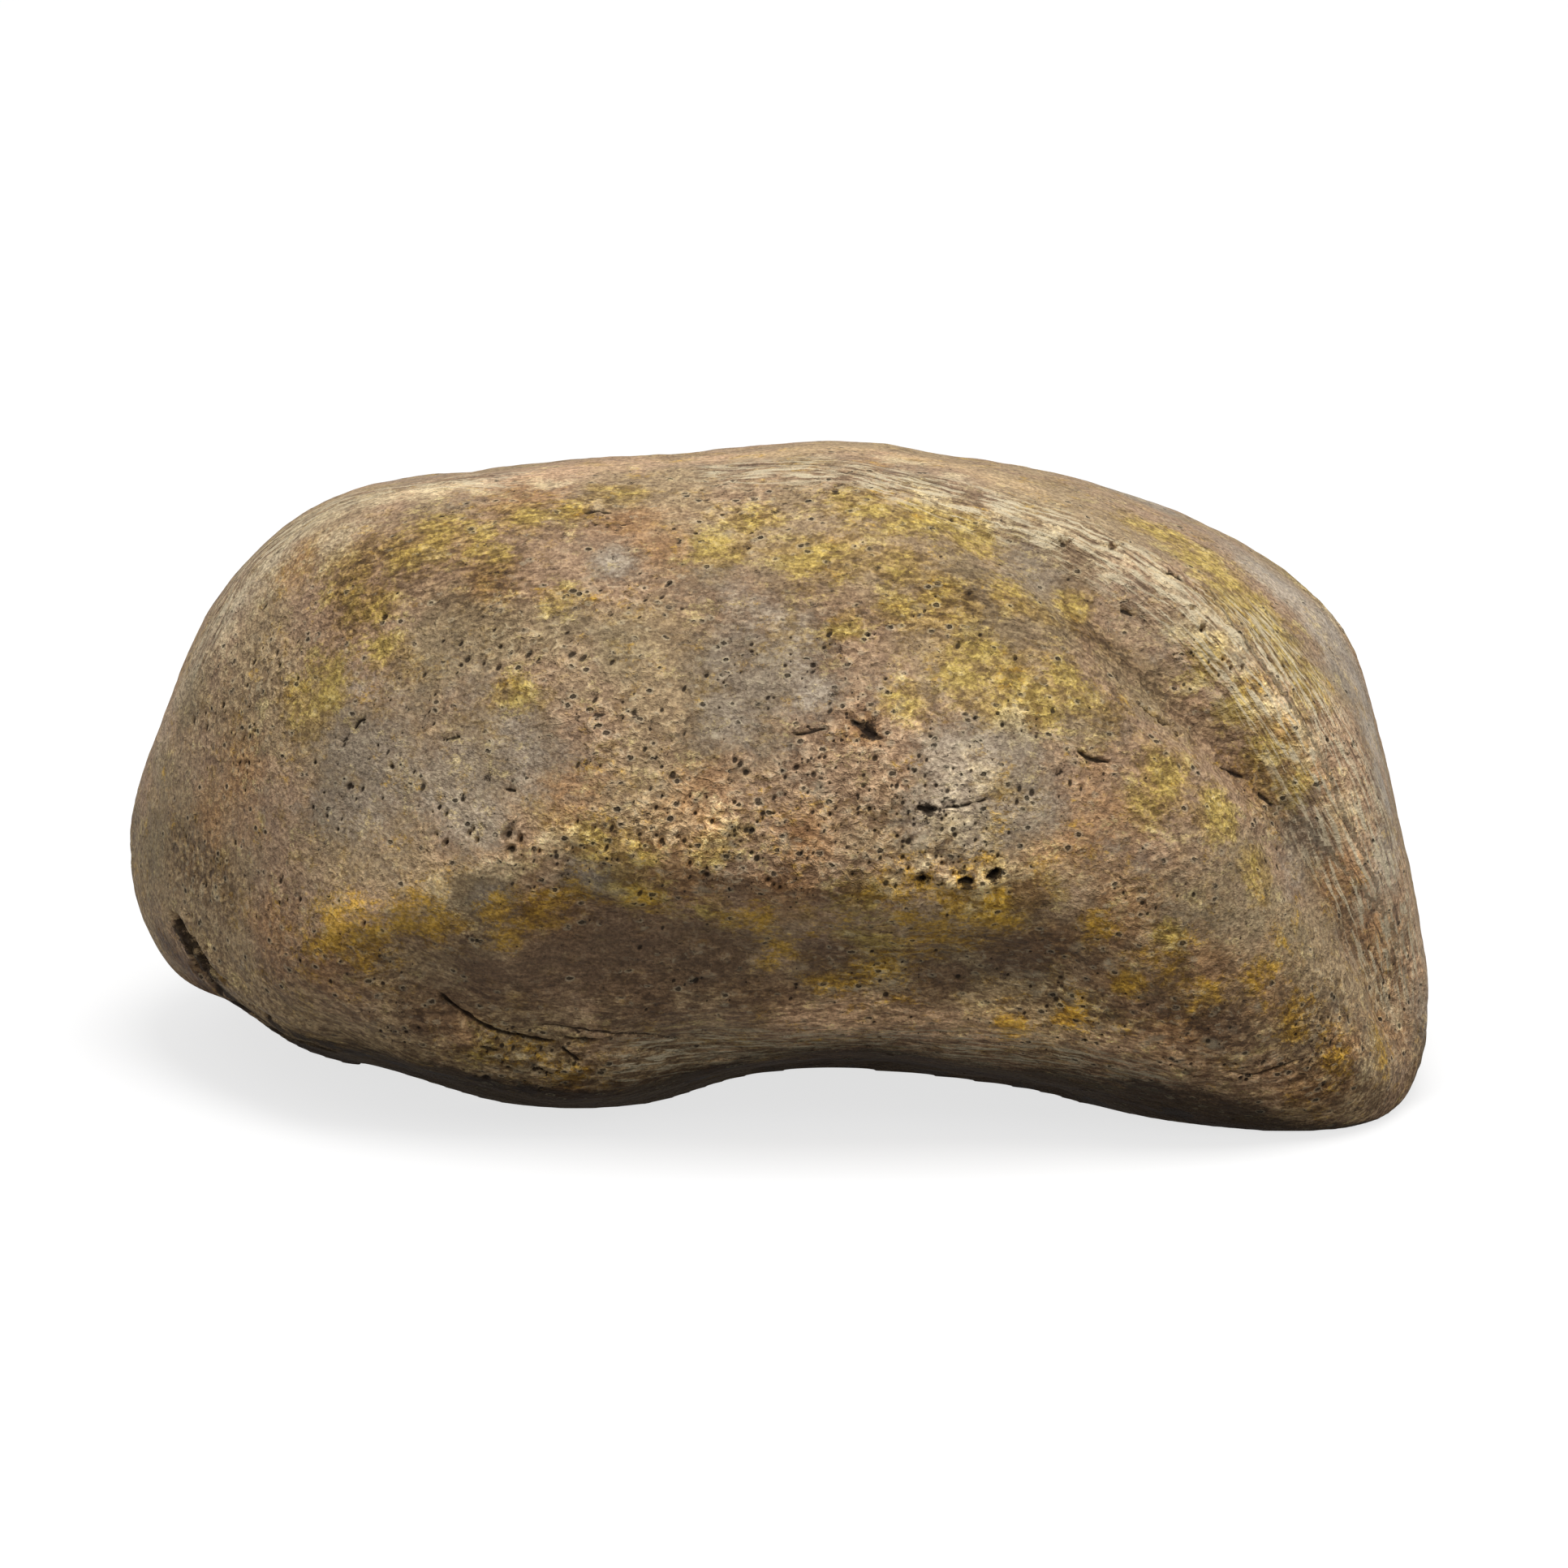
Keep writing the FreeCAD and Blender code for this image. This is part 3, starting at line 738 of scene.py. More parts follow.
# %% [markdown]
# ## Where each paint goes
#
# The painter of such a stone works in layers.  On a tan ground come patches of moss green, rust and
# ash grey, then a mustard and an ochre that stand for lichen, then flecks of chalk, partly painted
# highlight, and brown umber, which is painted shade.  Each is dabbed on with a sponge.  A nearly
# black painted shade goes into the fissure, the cavities and along the lower edge.
#
# A patch is a list of dabs: (across, down, radius in mm).  Lichen likes the light, so the mustard
# lies on the top and the shoulder.  The ochre sits on the ledge and low on the right.

# %% Dabs of lichen colours
DABS = {}
DABS["mustard"] = [
    # upper left
    (545, 655, 2.4), (585, 668, 1.8), (500, 682, 1.8), (612, 690, 1.6), (650, 636, 1.6),
    (432, 712, 2.0), (452, 752, 1.8), (702, 630, 1.2), (405, 842, 2.2), (372, 862, 1.6),
    (470, 800, 1.4), (635, 850, 1.2), (692, 738, 1.2), (765, 606, 1.4),
    # top middle
    (880, 676, 1.8), (925, 640, 1.6), (1010, 690, 2.4), (1062, 622, 2.4), (1130, 640, 2.6),
    (1190, 664, 2.2), (1110, 700, 1.8), (1160, 738, 2.0), (1115, 752, 1.6), (1040, 775, 1.2),
    (1250, 730, 1.8), (1320, 745, 1.2),
    # above the bump
    (1192, 820, 2.2), (1215, 800, 1.4), (1262, 846, 2.2), (1312, 842, 2.2), (1285, 872, 1.6),
    (1110, 862, 1.2), (1236, 868, 1.4),
    # the ledge
    (735, 1040, 1.6), (785, 1060, 1.2), (790, 1104, 1.6), (880, 1040, 1.6), (870, 1130, 1.4),
    (1060, 1110, 1.6), (1236, 1108, 2.0), (1080, 1160, 1.8),
    # the right
    (1440, 960, 1.8), (1500, 1000, 1.8), (1545, 1066, 1.3), (1438, 1148, 1.0), (1420, 985, 1.4),
    (1430, 656, 2.2), (1480, 692, 2.6), (1525, 732, 3.2), (1566, 778, 3.2), (1600, 826, 2.6),
    (1490, 812, 1.6), (1528, 862, 1.8), (1566, 915, 1.8), (1596, 962, 1.6),
    (590, 1290, 1.2),
]
DABS["ochre"] = [
    # the left ledge and the front below it
    (385, 1166, 1.6), (412, 1160, 2.0), (442, 1150, 2.4), (482, 1136, 2.2), (450, 1176, 1.8),
    (525, 1124, 1.8), (560, 1140, 1.6), (610, 1130, 1.6), (660, 1122, 1.6), (712, 1098, 1.4),
    (800, 1106, 1.4), (925, 1140, 2.0), (975, 1176, 2.0), (1120, 1112, 2.8), (1180, 1118, 3.0),
    (1236, 1112, 2.4), (1150, 1150, 2.6), (1040, 1200, 2.0), (1110, 1190, 2.0), (1210, 1152, 1.8),
    (1330, 1250, 1.4), (1245, 1262, 1.4), (640, 1290, 1.6), (700, 1330, 1.4),
    # the lower right
    (1440, 1180, 1.8), (1480, 1230, 1.8), (1390, 1210, 1.6), (1350, 1150, 1.4), (1700, 1290, 1.8),
    (1560, 1200, 1.4), (1600, 1260, 1.6), (1640, 1300, 1.6),
]
print("dabs of lichen:", len(DABS["mustard"]), "mustard and", len(DABS["ochre"]), "ochre")

# %% [markdown]
# The ground colours lie under the lichen, in larger dabs: ash grey on the left and on the bump, rust
# on the ledge and the right, and moss in the shade between them.

# %% Dabs of the ground colours
DABS["ash"] = [
    (470, 940, 4.2), (560, 960, 3.4), (640, 930, 2.8), (430, 990, 2.4), (590, 1010, 2.0),
    (940, 830, 4.0), (980, 790, 2.6), (900, 880, 2.6), (1000, 860, 2.0),
    (1180, 960, 2.8), (1230, 928, 2.4), (1150, 1000, 2.2), (1215, 1030, 2.2), (1262, 1000, 2.0),
    (600, 1110, 1.8), (722, 1080, 1.5),
    (1545, 702, 1.8), (1590, 735, 2.2), (1632, 780, 2.6), (1664, 838, 2.6), (1688, 905, 2.4),
    (1704, 970, 2.0), (1706, 1060, 2.0),
    (1270, 700, 2.0), (760, 690, 1.4),
    (1600, 1040, 2.0),
]
DABS["rust"] = [
    (300, 960, 3.4), (260, 1010, 2.4), (360, 700, 2.0), (650, 610, 2.6), (340, 1150, 3.0),
    (400, 1190, 2.6), (660, 1130, 2.8), (700, 1150, 1.8), (560, 1262, 1.8), (840, 1090, 3.0),
    (960, 1110, 2.8), (990, 1040, 2.0), (1340, 1040, 4.0), (1380, 1120, 3.6),
    (1400, 1210, 3.4), (1480, 1190, 3.0), (1560, 1230, 3.0), (1450, 1262, 2.8), (1300, 1160, 2.4),
    (1660, 1080, 2.0), (1690, 1160, 2.4), (1700, 1250, 2.8), (1660, 1310, 2.8), (1640, 1000, 1.6),
    (1560, 900, 1.6), (1600, 950, 1.6), (1090, 570, 1.6), (1065, 898, 1.0), (1620, 1340, 2.4),
    (780, 640, 2.0), (820, 680, 2.2), (600, 720, 1.6), (700, 990, 2.4), (860, 980, 2.4),
]
DABS["moss"] = [
    (560, 770, 3.2), (530, 812, 2.6), (610, 790, 2.6), (690, 770, 2.4), (760, 800, 2.4),
    (1300, 770, 3.2), (1370, 810, 2.8), (1230, 760, 2.6), (1200, 720, 2.4), (1420, 850, 2.4),
    (1340, 880, 2.4), (1560, 1110, 2.8), (1540, 1060, 2.4), (1590, 1160, 2.6), (1500, 1130, 2.2),
    (590, 1110, 2.2), (740, 1084, 1.8), (1180, 1190, 3.0), (1090, 1200, 2.8), (1010, 1200, 2.4),
    (1260, 1200, 2.6), (1330, 1240, 2.6), (870, 700, 2.2), (190, 1040, 2.4), (200, 940, 2.2),
    (230, 860, 2.0), (640, 1300, 2.0), (1540, 860, 1.8), (1130, 590, 1.6),
]
print("paints so far:", ", ".join(DABS))

# %% [markdown]
# Chalk catches on the rims and along the shoulder, partly as a painted highlight.  Umber is painted
# shade in the hollow under the ledge and low on the front, and a nearly black painted shade goes into
# the fissure, the cavities and along the lower edge.

# %% Dabs of chalk and highlight, umber shade and painted shade in the hollows
# chalk: pale paint, and painted highlight on the rims, along the shoulder and on the lips of the ledges
DABS["chalk_and_highlight"] = [
    (300, 730, 2.0), (276, 780, 1.8), (340, 690, 2.6), (372, 652, 2.6), (412, 628, 2.4),
    (462, 614, 2.2), (520, 604, 1.8), (420, 660, 2.0),
    (590, 596, 1.5), (680, 596, 1.4), (1010, 566, 1.4), (1100, 566, 1.6), (1180, 586, 1.4),
    (1150, 612, 1.1), (1230, 634, 1.3), (1300, 660, 1.3), (1370, 690, 1.4), (1430, 722, 1.4),
    (1480, 766, 1.4), (1525, 812, 1.4), (1565, 864, 1.4), (1610, 925, 1.4), (1650, 990, 1.2),
    (1250, 890, 1.4), (1200, 960, 1.8), (1170, 1030, 1.8),
    (1100, 1078, 0.8), (1132, 1070, 0.8), (1166, 1090, 0.9), (1206, 1096, 0.9), (1250, 1080, 0.9),
    (690, 1046, 1.2), (610, 1066, 1.2), (540, 1096, 1.0), (480, 1126, 0.8), (880, 1022, 1.6),
    (1585, 1040, 0.8), (1560, 1010, 0.8), (1690, 1310, 1.6), (1710, 1240, 1.4),
]
DABS["umber_shade"] = [
    # painted shade under the ledge and low on the front
    (1440, 1236, 1.6), (1500, 1262, 2.0), (760, 1190, 4.2), (860, 1190, 3.6), (680, 1190, 3.0),
    (930, 1230, 2.6), (1010, 1178, 1.8), (800, 1240, 3.4), (1272, 1108, 1.4), (1250, 1180, 2.4),
    (600, 1200, 2.4), (520, 1240, 2.2), (1160, 1200, 1.8), (700, 1350, 1.8),
]
DABS["hollow_and_edge_shade"] = [
    # painted shade in the fissure, along the lower edge and in the cavities under the bump
    (216, 1146, 0.5), (224, 1159, 0.6), (232, 1173, 0.8), (242, 1187, 0.9), (253, 1200, 0.9),
    (265, 1213, 0.9), (279, 1226, 0.8), (295, 1239, 0.8), (315, 1251, 0.8), (340, 1264, 0.8),
    (370, 1278, 0.8),
    (400, 1289, 0.8), (440, 1301, 0.9), (490, 1313, 0.9), (540, 1323, 0.9), (600, 1335, 0.9),
    (650, 1343, 0.8), (860, 1330, 0.8), (950, 1322, 0.8), (1050, 1318, 0.8), (1150, 1322, 0.9),
    (1250, 1342, 0.9), (1350, 1358, 0.9), (1450, 1372, 0.9), (1137, 1083, 0.4), (1190, 1087, 0.4),
    (1226, 1079, 0.4), (1070, 900, 0.5), (1144, 997, 0.4),
]
print("dabs on the front:", sum(len(dabs) for dabs in DABS.values()))

# %% [markdown]
# Last come soft-edged strokes of painted shade and painted highlight, so that the form reads from
# further off: painted shade under the ledge, in the valleys and along the lower edge, and painted
# highlight on the ridges and the rims.  The second list is a thin grey on the rims, partly grey paint
# and partly a painted sheen.

# %% Strokes of painted shade and highlight
LIGHT_AND_SHADE_STROKES = [
    # (reach in mm, tone from -1 to 1, places): painted highlight on the rim, over the ledge, on the bump
    (1.8, 0.50, [(500, 606), (700, 580), (900, 562), (1080, 555), (1260, 598)]),
    (2.6, 0.30, [(196, 930), (220, 850), (270, 760)]),
    (4.0, 0.25, [(500, 850), (540, 930)]),
    (3.0, 0.30, [(440, 1050), (620, 1010), (740, 1000), (860, 1030), (1000, 1045)]),
    (1.5, 0.60, [(420, 1128), (540, 1088), (640, 1056), (740, 1052), (800, 1040), (860, 1026)]),
    (4.0, 0.45, [(1130, 970), (1190, 1000), (1240, 1040)]),
    (1.5, 0.60, [(1090, 1062), (1150, 1072), (1220, 1076), (1290, 1056)]),
    # painted highlight on the ridge of the right shoulder and on the low front
    (1.6, 0.30, [(1130, 606), (1330, 670), (1430, 716)]),
    (1.6, 0.55, [(1510, 796), (1580, 880), (1640, 980), (1690, 1100), (1726, 1190)]),
    (2.6, 0.45, [(1650, 880), (1690, 1020), (1720, 1150)]),
    (1.6, 0.40, [(1722, 1040), (1742, 1120), (1750, 1220)]),
    (1.8, 0.35, [(1540, 700), (1600, 744), (1652, 810), (1684, 890), (1706, 960)]),
    (2.4, 1.00, [(980, 1244), (1080, 1254), (1180, 1256), (1320, 1262)]),
    (2.4, 0.60, [(1380, 1290), (1460, 1306), (1560, 1330)]),
    # painted shade on the upper left, in the valley of the shoulder and under the ledge
    (4.0, -0.60, [(440, 745), (500, 690), (600, 720)]),
    (1.4, -0.60, [(1330, 770), (1440, 850), (1500, 905), (1560, 975), (1620, 1060), (1670, 1160)]),
    (3.0, -0.30, [(1200, 740), (1340, 810), (1380, 890), (1460, 1010)]),
    (5.0, -0.30, [(880, 760), (1000, 740), (1140, 730)]),
    (2.2, -0.35, [(1120, 1160), (1260, 1152), (1420, 1172), (1540, 1210), (1620, 1250)]),
    (1.5, -0.50, [(850, 1092), (900, 1084), (960, 1082), (1050, 1098)]),
    (2.0, -0.38, [(340, 1196), (500, 1176), (620, 1134), (740, 1114)]),
    (2.6, -0.45, [(215, 1050), (280, 1090)]),
    (2.6, -0.15, [(1560, 1290), (1640, 1326), (1700, 1320)]),
    (2.4, -0.25, [(640, 640), (760, 650)]),
    (2.2, -0.30, [(1240, 660), (1320, 700)]),
    # painted shadow, nearly black, along the lower edge
    (1.3, -1.20, [(200, 1160), (260, 1222), (340, 1278)]),
    (0.9, -1.20, [(340, 1278), (440, 1310), (540, 1328), (620, 1344)]),
    (0.7, -1.20, [(760, 1334), (880, 1318), (1000, 1308), (1140, 1310), (1340, 1344)]),
    (0.7, -1.20, [(1340, 1344), (1460, 1380), (1580, 1396)]),
]
# grey haze on the rims: partly grey paint, partly a painted sheen of the rims
RIM_HAZE_AND_SHEEN = [
    (2.8, 0.9, [(1540, 690), (1602, 734), (1656, 796), (1690, 884), (1712, 980)]),
    (1.6, 0.5, [(190, 930), (216, 860), (268, 770), (338, 690)]),
]
print("strokes of the airbrush:", len(LIGHT_AND_SHADE_STROKES) + len(RIM_HAZE_AND_SHEEN))

# %% [markdown]
# ## Paint as values on the net
#
# All of a paint's dabs together make one soft value per corner of the net, from 0 to 1, which is
# stored on the mesh as an attribute.  The material tears its edges later.  The back of the stone
# gets dabs by a seeded draw, in the same sizes.  The relief, the strands and the shade low down are
# stored in the same way, so the paint can follow them.

# %% Store the paints on the net
BACK_DABS = {"mustard": 26, "ochre": 10, "ash": 22, "rust": 26, "moss": 16, "chalk_and_highlight": 20}
paintable_back = unseen(core_distance(places) > MARKS_FROM_CORE)


def dabbed(name, dabs):
    """Soft value per corner, from 0 to 1, of one paint's dabs on the front and on the back."""
    patches = [(on_stone(across, down), radius) for across, down, radius in dabs]
    for number in draw.choice(paintable_back, BACK_DABS.get(name, 0), replace=False):
        # each patch of the back is a few dabs close together
        for step in draw.normal(0, 2.0, (3, 3)):
            patches.append((places[number] + step, draw.uniform(1.4, 3.6)))
    value = np.zeros(len(places))
    for centre, radius in patches:
        value = np.maximum(value, patch(centre, 1.25 * radius))
    return value


def store(name, values):
    """Store one number or one direction per corner on the stone's mesh."""
    if values.ndim == 1:
        stone.data.attributes.new(name, "FLOAT", "POINT").data.foreach_set("value", values)
    else:
        attribute = stone.data.attributes.new(name, "FLOAT_VECTOR", "POINT")
        attribute.data.foreach_set("vector", values.ravel())


def soft_strokes(strokes):
    """What some soft strokes leave on each corner, from -1 to 1: painted shade below 0 and painted
    highlight above 0, or, for the haze, its strength.
    """
    tone = np.zeros(len(places))
    for reach, strength, way in strokes:
        near, along, across = beside(line_on_stone(way), 2.5 * reach)
        tone[near] += strength * bell(across, reach)
    return np.clip(tone, -1, 1)


for name, dabs in DABS.items():
    store(name, dabbed(name, dabs))
# painted shade below 0 and painted highlight above 0
store("tone", soft_strokes(LIGHT_AND_SHADE_STROKES))
# the grey haze on the rims, partly a painted sheen
store("rim_haze_and_sheen", soft_strokes(RIM_HAZE_AND_SHEEN))
store("strands", strands)
store("flow", flow * MM)
# relief of the grain and the strands, for its painted highlight and shade
store("relief", skin * (grain + fibres) / 0.1)
# where the painted shade of the cracks and pits goes
store("slots", ease(core_distance(places), 0.0, 0.6) * np.maximum(slots, pits))
store("rough", roughness)
# low: darker near the ground and where not facing up, partly a dirt wash and partly painted shade;
# under: painted shade where facing down near the ground
store("low", ease(places[:, 2], 17.0, 1.0) * ease(outward[:, 2], 0.35, -0.35))
store("under", ease(places[:, 2], 9.0, 3.0) * ease(outward[:, 2], -0.55, -0.92))
print("paints on the stone:", ", ".join(DABS), "and what the airbrush leaves")

# %% [markdown]
# ## The stone's paint
#
# The recipe follows the painter, with one short function for each step that takes the colour so far
# and gives back the next one.  The steps share a few cloud textures, which `stone_textures` makes
# once.  `attribute` reads a value that is stored on the mesh.

# %% Paints and textures of the stone
TAN = paint(165, 144, 115)
PINKISH = paint(168, 142, 118)
ASH = paint(142, 130, 115)
PALE_ASH = paint(172, 161, 146)
MOSS = paint(143, 128, 101)
MUSTARD = paint(186, 164, 90)
OCHRE = paint(192, 153, 48)
OLIVE = paint(159, 134, 77)
RUST = paint(168, 130, 91)
UMBER = paint(106, 84, 65)
# grey of the rim haze, partly a painted sheen
GREY_HAZE_AND_SHEEN = paint(178, 168, 157)
CREAM = paint(222, 206, 172)
# nearly black: painted shade in cracks, pits, pores, hollows and underneath, and partly dirt low down
WASH_AND_SHADE = paint(36, 26, 19)


def attribute(tree, name, output="Fac"):
    """A value that is stored on the mesh."""
    return node(tree, "Attribute", {}, output, attribute_name=name)


def stone_textures(tree):
    """The places and the cloud textures that the steps share, by name."""
    place = node(tree, "TexCoord", {}, output="Object")
    drawn = node(tree, "Mapping", {"Vector": place, "Scale": (0.8, 1.0, 1.1)})
    swept = node(tree, "Mapping", {"Vector": place, "Scale": (0.30, 1.0, 1.0)})
    return {
        "place": place,
        "drawn": drawn,
        "broad": cloud_texture(tree, place, 11.0, detail=6.0, roughness=0.6),
        "blotch": cloud_texture(tree, drawn, 2.0, detail=5.0, roughness=0.65),
        "speck": cloud_texture(tree, drawn, 0.68, detail=3.0, roughness=0.6, distortion=0.6),
        "fine": cloud_texture(tree, place, 0.26, detail=2.0, roughness=0.5),
        "strokes": cloud_texture(tree, swept, 0.45, detail=3.0, roughness=0.6, distortion=0.5),
    }


# %% [markdown]
# ### Patches with torn edges
#
# `torn` cuts a patch's soft value into a mask after clouds have disturbed it, so that the edges come
# out torn and flecked, never round.  Mustard and ochre are torn most, and a thin olive stain lies
# under the mustard.

# %% Torn patches
def torn(tree, place, name, size, tear, low, high):
    """A patch with torn edges: its soft value, disturbed by coarse and fine clouds, and cut."""
    coarse = cloud_texture(tree, place, size, detail=3.0, roughness=0.6)
    fine = cloud_texture(tree, place, size / 6, detail=6.0, roughness=0.8, distortion=0.8)
    shift = maths(tree, "MULTIPLY", maths(tree, "ADD", coarse, fine, -1.0), tear)
    return mask(tree, maths(tree, "ADD", attribute(tree, name), shift), low, high)


def layered(tree, place, colour, layers):
    """Lay torn layers over a colour, and give back the result and what each layer covers."""
    covered = {}
    for name, dabs, tint, size, tear, low, high, share in layers:
        covered[name] = torn(tree, place, dabs, size, tear, low, high)
        colour = lay(tree, covered[name], colour, tint, share)
    return colour, covered


def dabbed_paints(tree, texture):
    """The tan ground with its patches of paint."""
    colour = lay(tree, mask(tree, texture["broad"], 0.42, 0.58), TAN, PINKISH)
    ash_tone = lay(tree, mask(tree, texture["broad"], 0.45, 0.60), ASH, PALE_ASH)
    return layered(tree, texture["drawn"], colour, [
        # (name, dabs, paint, size of the tearing clouds in mm, tear, low, high, share)
        ("moss", "moss", MOSS, 5.0, 1.5, 0.10, 1.00, 0.80),
        ("rust", "rust", RUST, 4.0, 1.7, 0.10, 1.15, 0.75),
        ("ash", "ash", ash_tone, 4.5, 1.6, 0.10, 0.85, 0.85),
        ("olive", "mustard", OLIVE, 3.5, 2.6, 0.10, 0.80, 0.65),
        ("mustard", "mustard", MUSTARD, 1.8, 3.6, 0.38, 1.15, 0.85),
        ("ochre", "ochre", OCHRE, 2.2, 3.2, 0.34, 1.10, 0.80),
        # chalk: partly pale paint, partly painted highlight on rims and ledge lips
        ("chalk_and_highlight", "chalk_and_highlight", CREAM, 1.8, 3.6, 0.30, 1.30, 0.60),
        # umber: painted shade under the ledge and low on the front
        ("umber_shade", "umber_shade", UMBER, 5.0, 1.8, 0.05, 0.75, 0.85),
    ])


# %% [markdown]
# ### Painted shade and highlight, and sponge
#
# Painted shade and highlight follow the tone, and a grey haze, partly painted sheen, lies on the rims.
# `mottle` stands for the sponge: it shades and lightens all paints alike by a cloud texture, at four
# sizes.  The specks are strongest on rough ground and weak under smooth ash, and the strokes are
# strongest in the shade.

# %% Painted shade and highlight, and sponge
# multipliers for the painted shade and the painted highlight
PAINTED_SHADE_TINT = (0.32, 0.26, 0.20, 1.0)
PAINTED_HIGHLIGHT_TINT = (1.95, 1.90, 1.84, 1.0)
SHADED = (0.56, 0.50, 0.44, 1.0)
LIGHTENED = (1.46, 1.44, 1.36, 1.0)


def light_and_shade_brush(tree, texture, colour):
    """Paint shade and highlight by the tone, and lay the rim haze, partly a painted sheen, over it."""
    tone = attribute(tree, "tone")
    # painted shade where the tone is below 0, painted highlight where it is above 0
    colour = lay(tree, maths(tree, "MULTIPLY", tone, -1.0), colour, PAINTED_SHADE_TINT, blend="MULTIPLY")
    colour = lay(tree, tone, colour, PAINTED_HIGHLIGHT_TINT, blend="MULTIPLY")
    patchy = mask(tree, texture["blotch"], 0.10, 0.60)
    rim_haze_and_sheen = maths(tree, "MULTIPLY", attribute(tree, "rim_haze_and_sheen"), patchy)
    return lay(tree, rim_haze_and_sheen, colour, GREY_HAZE_AND_SHEEN, share=0.70)


def mottle(tree, colour, texture, low, high, amount):
    """Shade a colour where a texture is low and lighten it where the texture is high."""
    tone = lay(tree, mask(tree, texture, low, high), SHADED, LIGHTENED)
    return lay(tree, amount, colour, tone, blend="MULTIPLY")


def grain_of_ground(tree, covered):
    """How grainy the ground is: more on rough ground, less under the ash."""
    smoothed = maths(tree, "MULTIPLY", covered["ash"], 0.5)
    return mask(tree, maths(tree, "SUBTRACT", attribute(tree, "rough"), smoothed), -0.35, 1.3)


def sponge(tree, texture, colour, covered, grainy):
    """Mottle the colour at four sizes, and lay cream on the highest specks, partly pale grains and partly
    painted highlight on the raised grain.
    """
    low_here = mask(tree, attribute(tree, "low"), 0.0, 0.3)
    shade = maths(tree, "MAXIMUM", mask(tree, attribute(tree, "tone"), 0.0, -0.5), low_here)
    flecked = maths(tree, "ADD", grainy, mask(tree, covered["olive"], -0.5, 1.0, most=0.60))
    brushed = maths(tree, "ADD", 0.10, maths(tree, "MULTIPLY", shade, 0.70))
    colour = mottle(tree, colour, texture["blotch"], 0.36, 0.64, 0.14)
    colour = mottle(tree, colour, texture["speck"], 0.38, 0.62, flecked)
    colour = mottle(tree, colour, texture["strokes"], 0.42, 0.58, brushed)
    colour = mottle(tree, colour, texture["fine"], 0.30, 0.70, 0.65)
    # cream on the highest specks, which the bump raises: partly pale grains, partly painted highlight
    pale_grains_and_highlight = maths(tree, "MULTIPLY", mask(tree, texture["speck"], 0.59, 0.67), grainy)
    return lay(tree, pale_grains_and_highlight, colour, CREAM, share=0.45)


# %% [markdown]
# ### Strands, dry brush, washes and painted shade
#
# The strands are pale threads with dark gaps between them, stretched along the flow, partly streaks
# of colour and partly painted highlight on the threads and painted shade in the gaps.  A dry brush
# lightens what stands up and darkens what sinks, partly as painted highlight and shade of the relief.
# A nearly black painted shade lies where the stone is deep or turned down, and near the ground a wash
# that is partly dirt and partly painted shade.

# %% Strands, dry brush, washes and painted shade
def threads_of_strands(tree):
    """Threads along the flow, and how strong they are."""
    flow_place = attribute(tree, "flow", output="Vector")
    thread_place = node(tree, "Mapping", {"Vector": flow_place, "Scale": (0.12, 1.0, 1.0)})
    threads = cloud_texture(tree, thread_place, 0.36, detail=3.0, roughness=0.6, distortion=0.4)
    return threads, mask(tree, attribute(tree, "strands"), 0.15, 0.90)


def stranded(tree, colour, threads, strength):
    """Lay the pale threads and their dark gaps over the colour, partly streaks and partly painted
    highlight and shade of the threads' relief.
    """
    for low, high, tint in ((0.49, 0.60, CREAM), (0.46, 0.34, UMBER)):
        thread = maths(tree, "MULTIPLY", mask(tree, threads, low, high), strength)
        colour = lay(tree, thread, colour, tint, share=0.85)
    return colour


def brushed_washed_and_shaded(tree, texture, colour):
    """Lighter where the relief stands up and darker where it sinks, partly dry brush and partly painted
    highlight and shade, then the wash near the ground, partly dirt and partly painted shade, and painted
    shade underneath and in the hollows.
    """
    relief = attribute(tree, "relief")
    # painted highlight where the relief stands up and painted shade where it sinks, partly also dry brush
    # and wash
    colour = lay(tree, mask(tree, relief, 0.2, 1.0), colour, CREAM, share=0.40)
    colour = lay(tree, mask(tree, relief, -0.2, -1.0), colour, UMBER, share=0.55)
    return layered(tree, texture["drawn"], colour, [
        # low: partly dirt, partly painted shade; under: painted shade underneath; deep: painted shade in
        # the fissure, the cavities and along the lower edge
        ("low", "low", WASH_AND_SHADE, 6.0, 0.8, 0.10, 1.00, 0.15),
        ("under", "under", WASH_AND_SHADE, 4.0, 1.2, 0.30, 0.80, 0.85),
        ("deep", "hollow_and_edge_shade", WASH_AND_SHADE, 0.7, 1.8, 0.20, 0.55, 0.90),
    ])


# %% [markdown]
# ### Pores
#
# The smallest bubbles are too small for the net, so they are painted: a dark dot of painted shade
# with a painted highlight on its rim.
# A Voronoi texture gives evenly spread cells.  `ragged` jolts the places first, which frays the
# dots, and only where the ground is blotched or rough are they let through.

# %% Pores
def ragged(tree, place, drawn):
    """Places that a fine cloud has jolted by up to 0.11 mm, which frays what is drawn with them."""
    inputs = {"Vector": place, "Scale": 1 / (0.3 * MM), "Detail": 1.0}
    jolt = node(tree, "TexNoise", inputs, output="Color")
    jolt = node(tree, "VectorMath", {0: jolt, 1: (0.5, 0.5, 0.5)}, operation="SUBTRACT")
    inputs = {0: jolt, 1: (0.22 * MM,) * 3, 2: drawn}
    return node(tree, "VectorMath", inputs, operation="MULTIPLY_ADD")


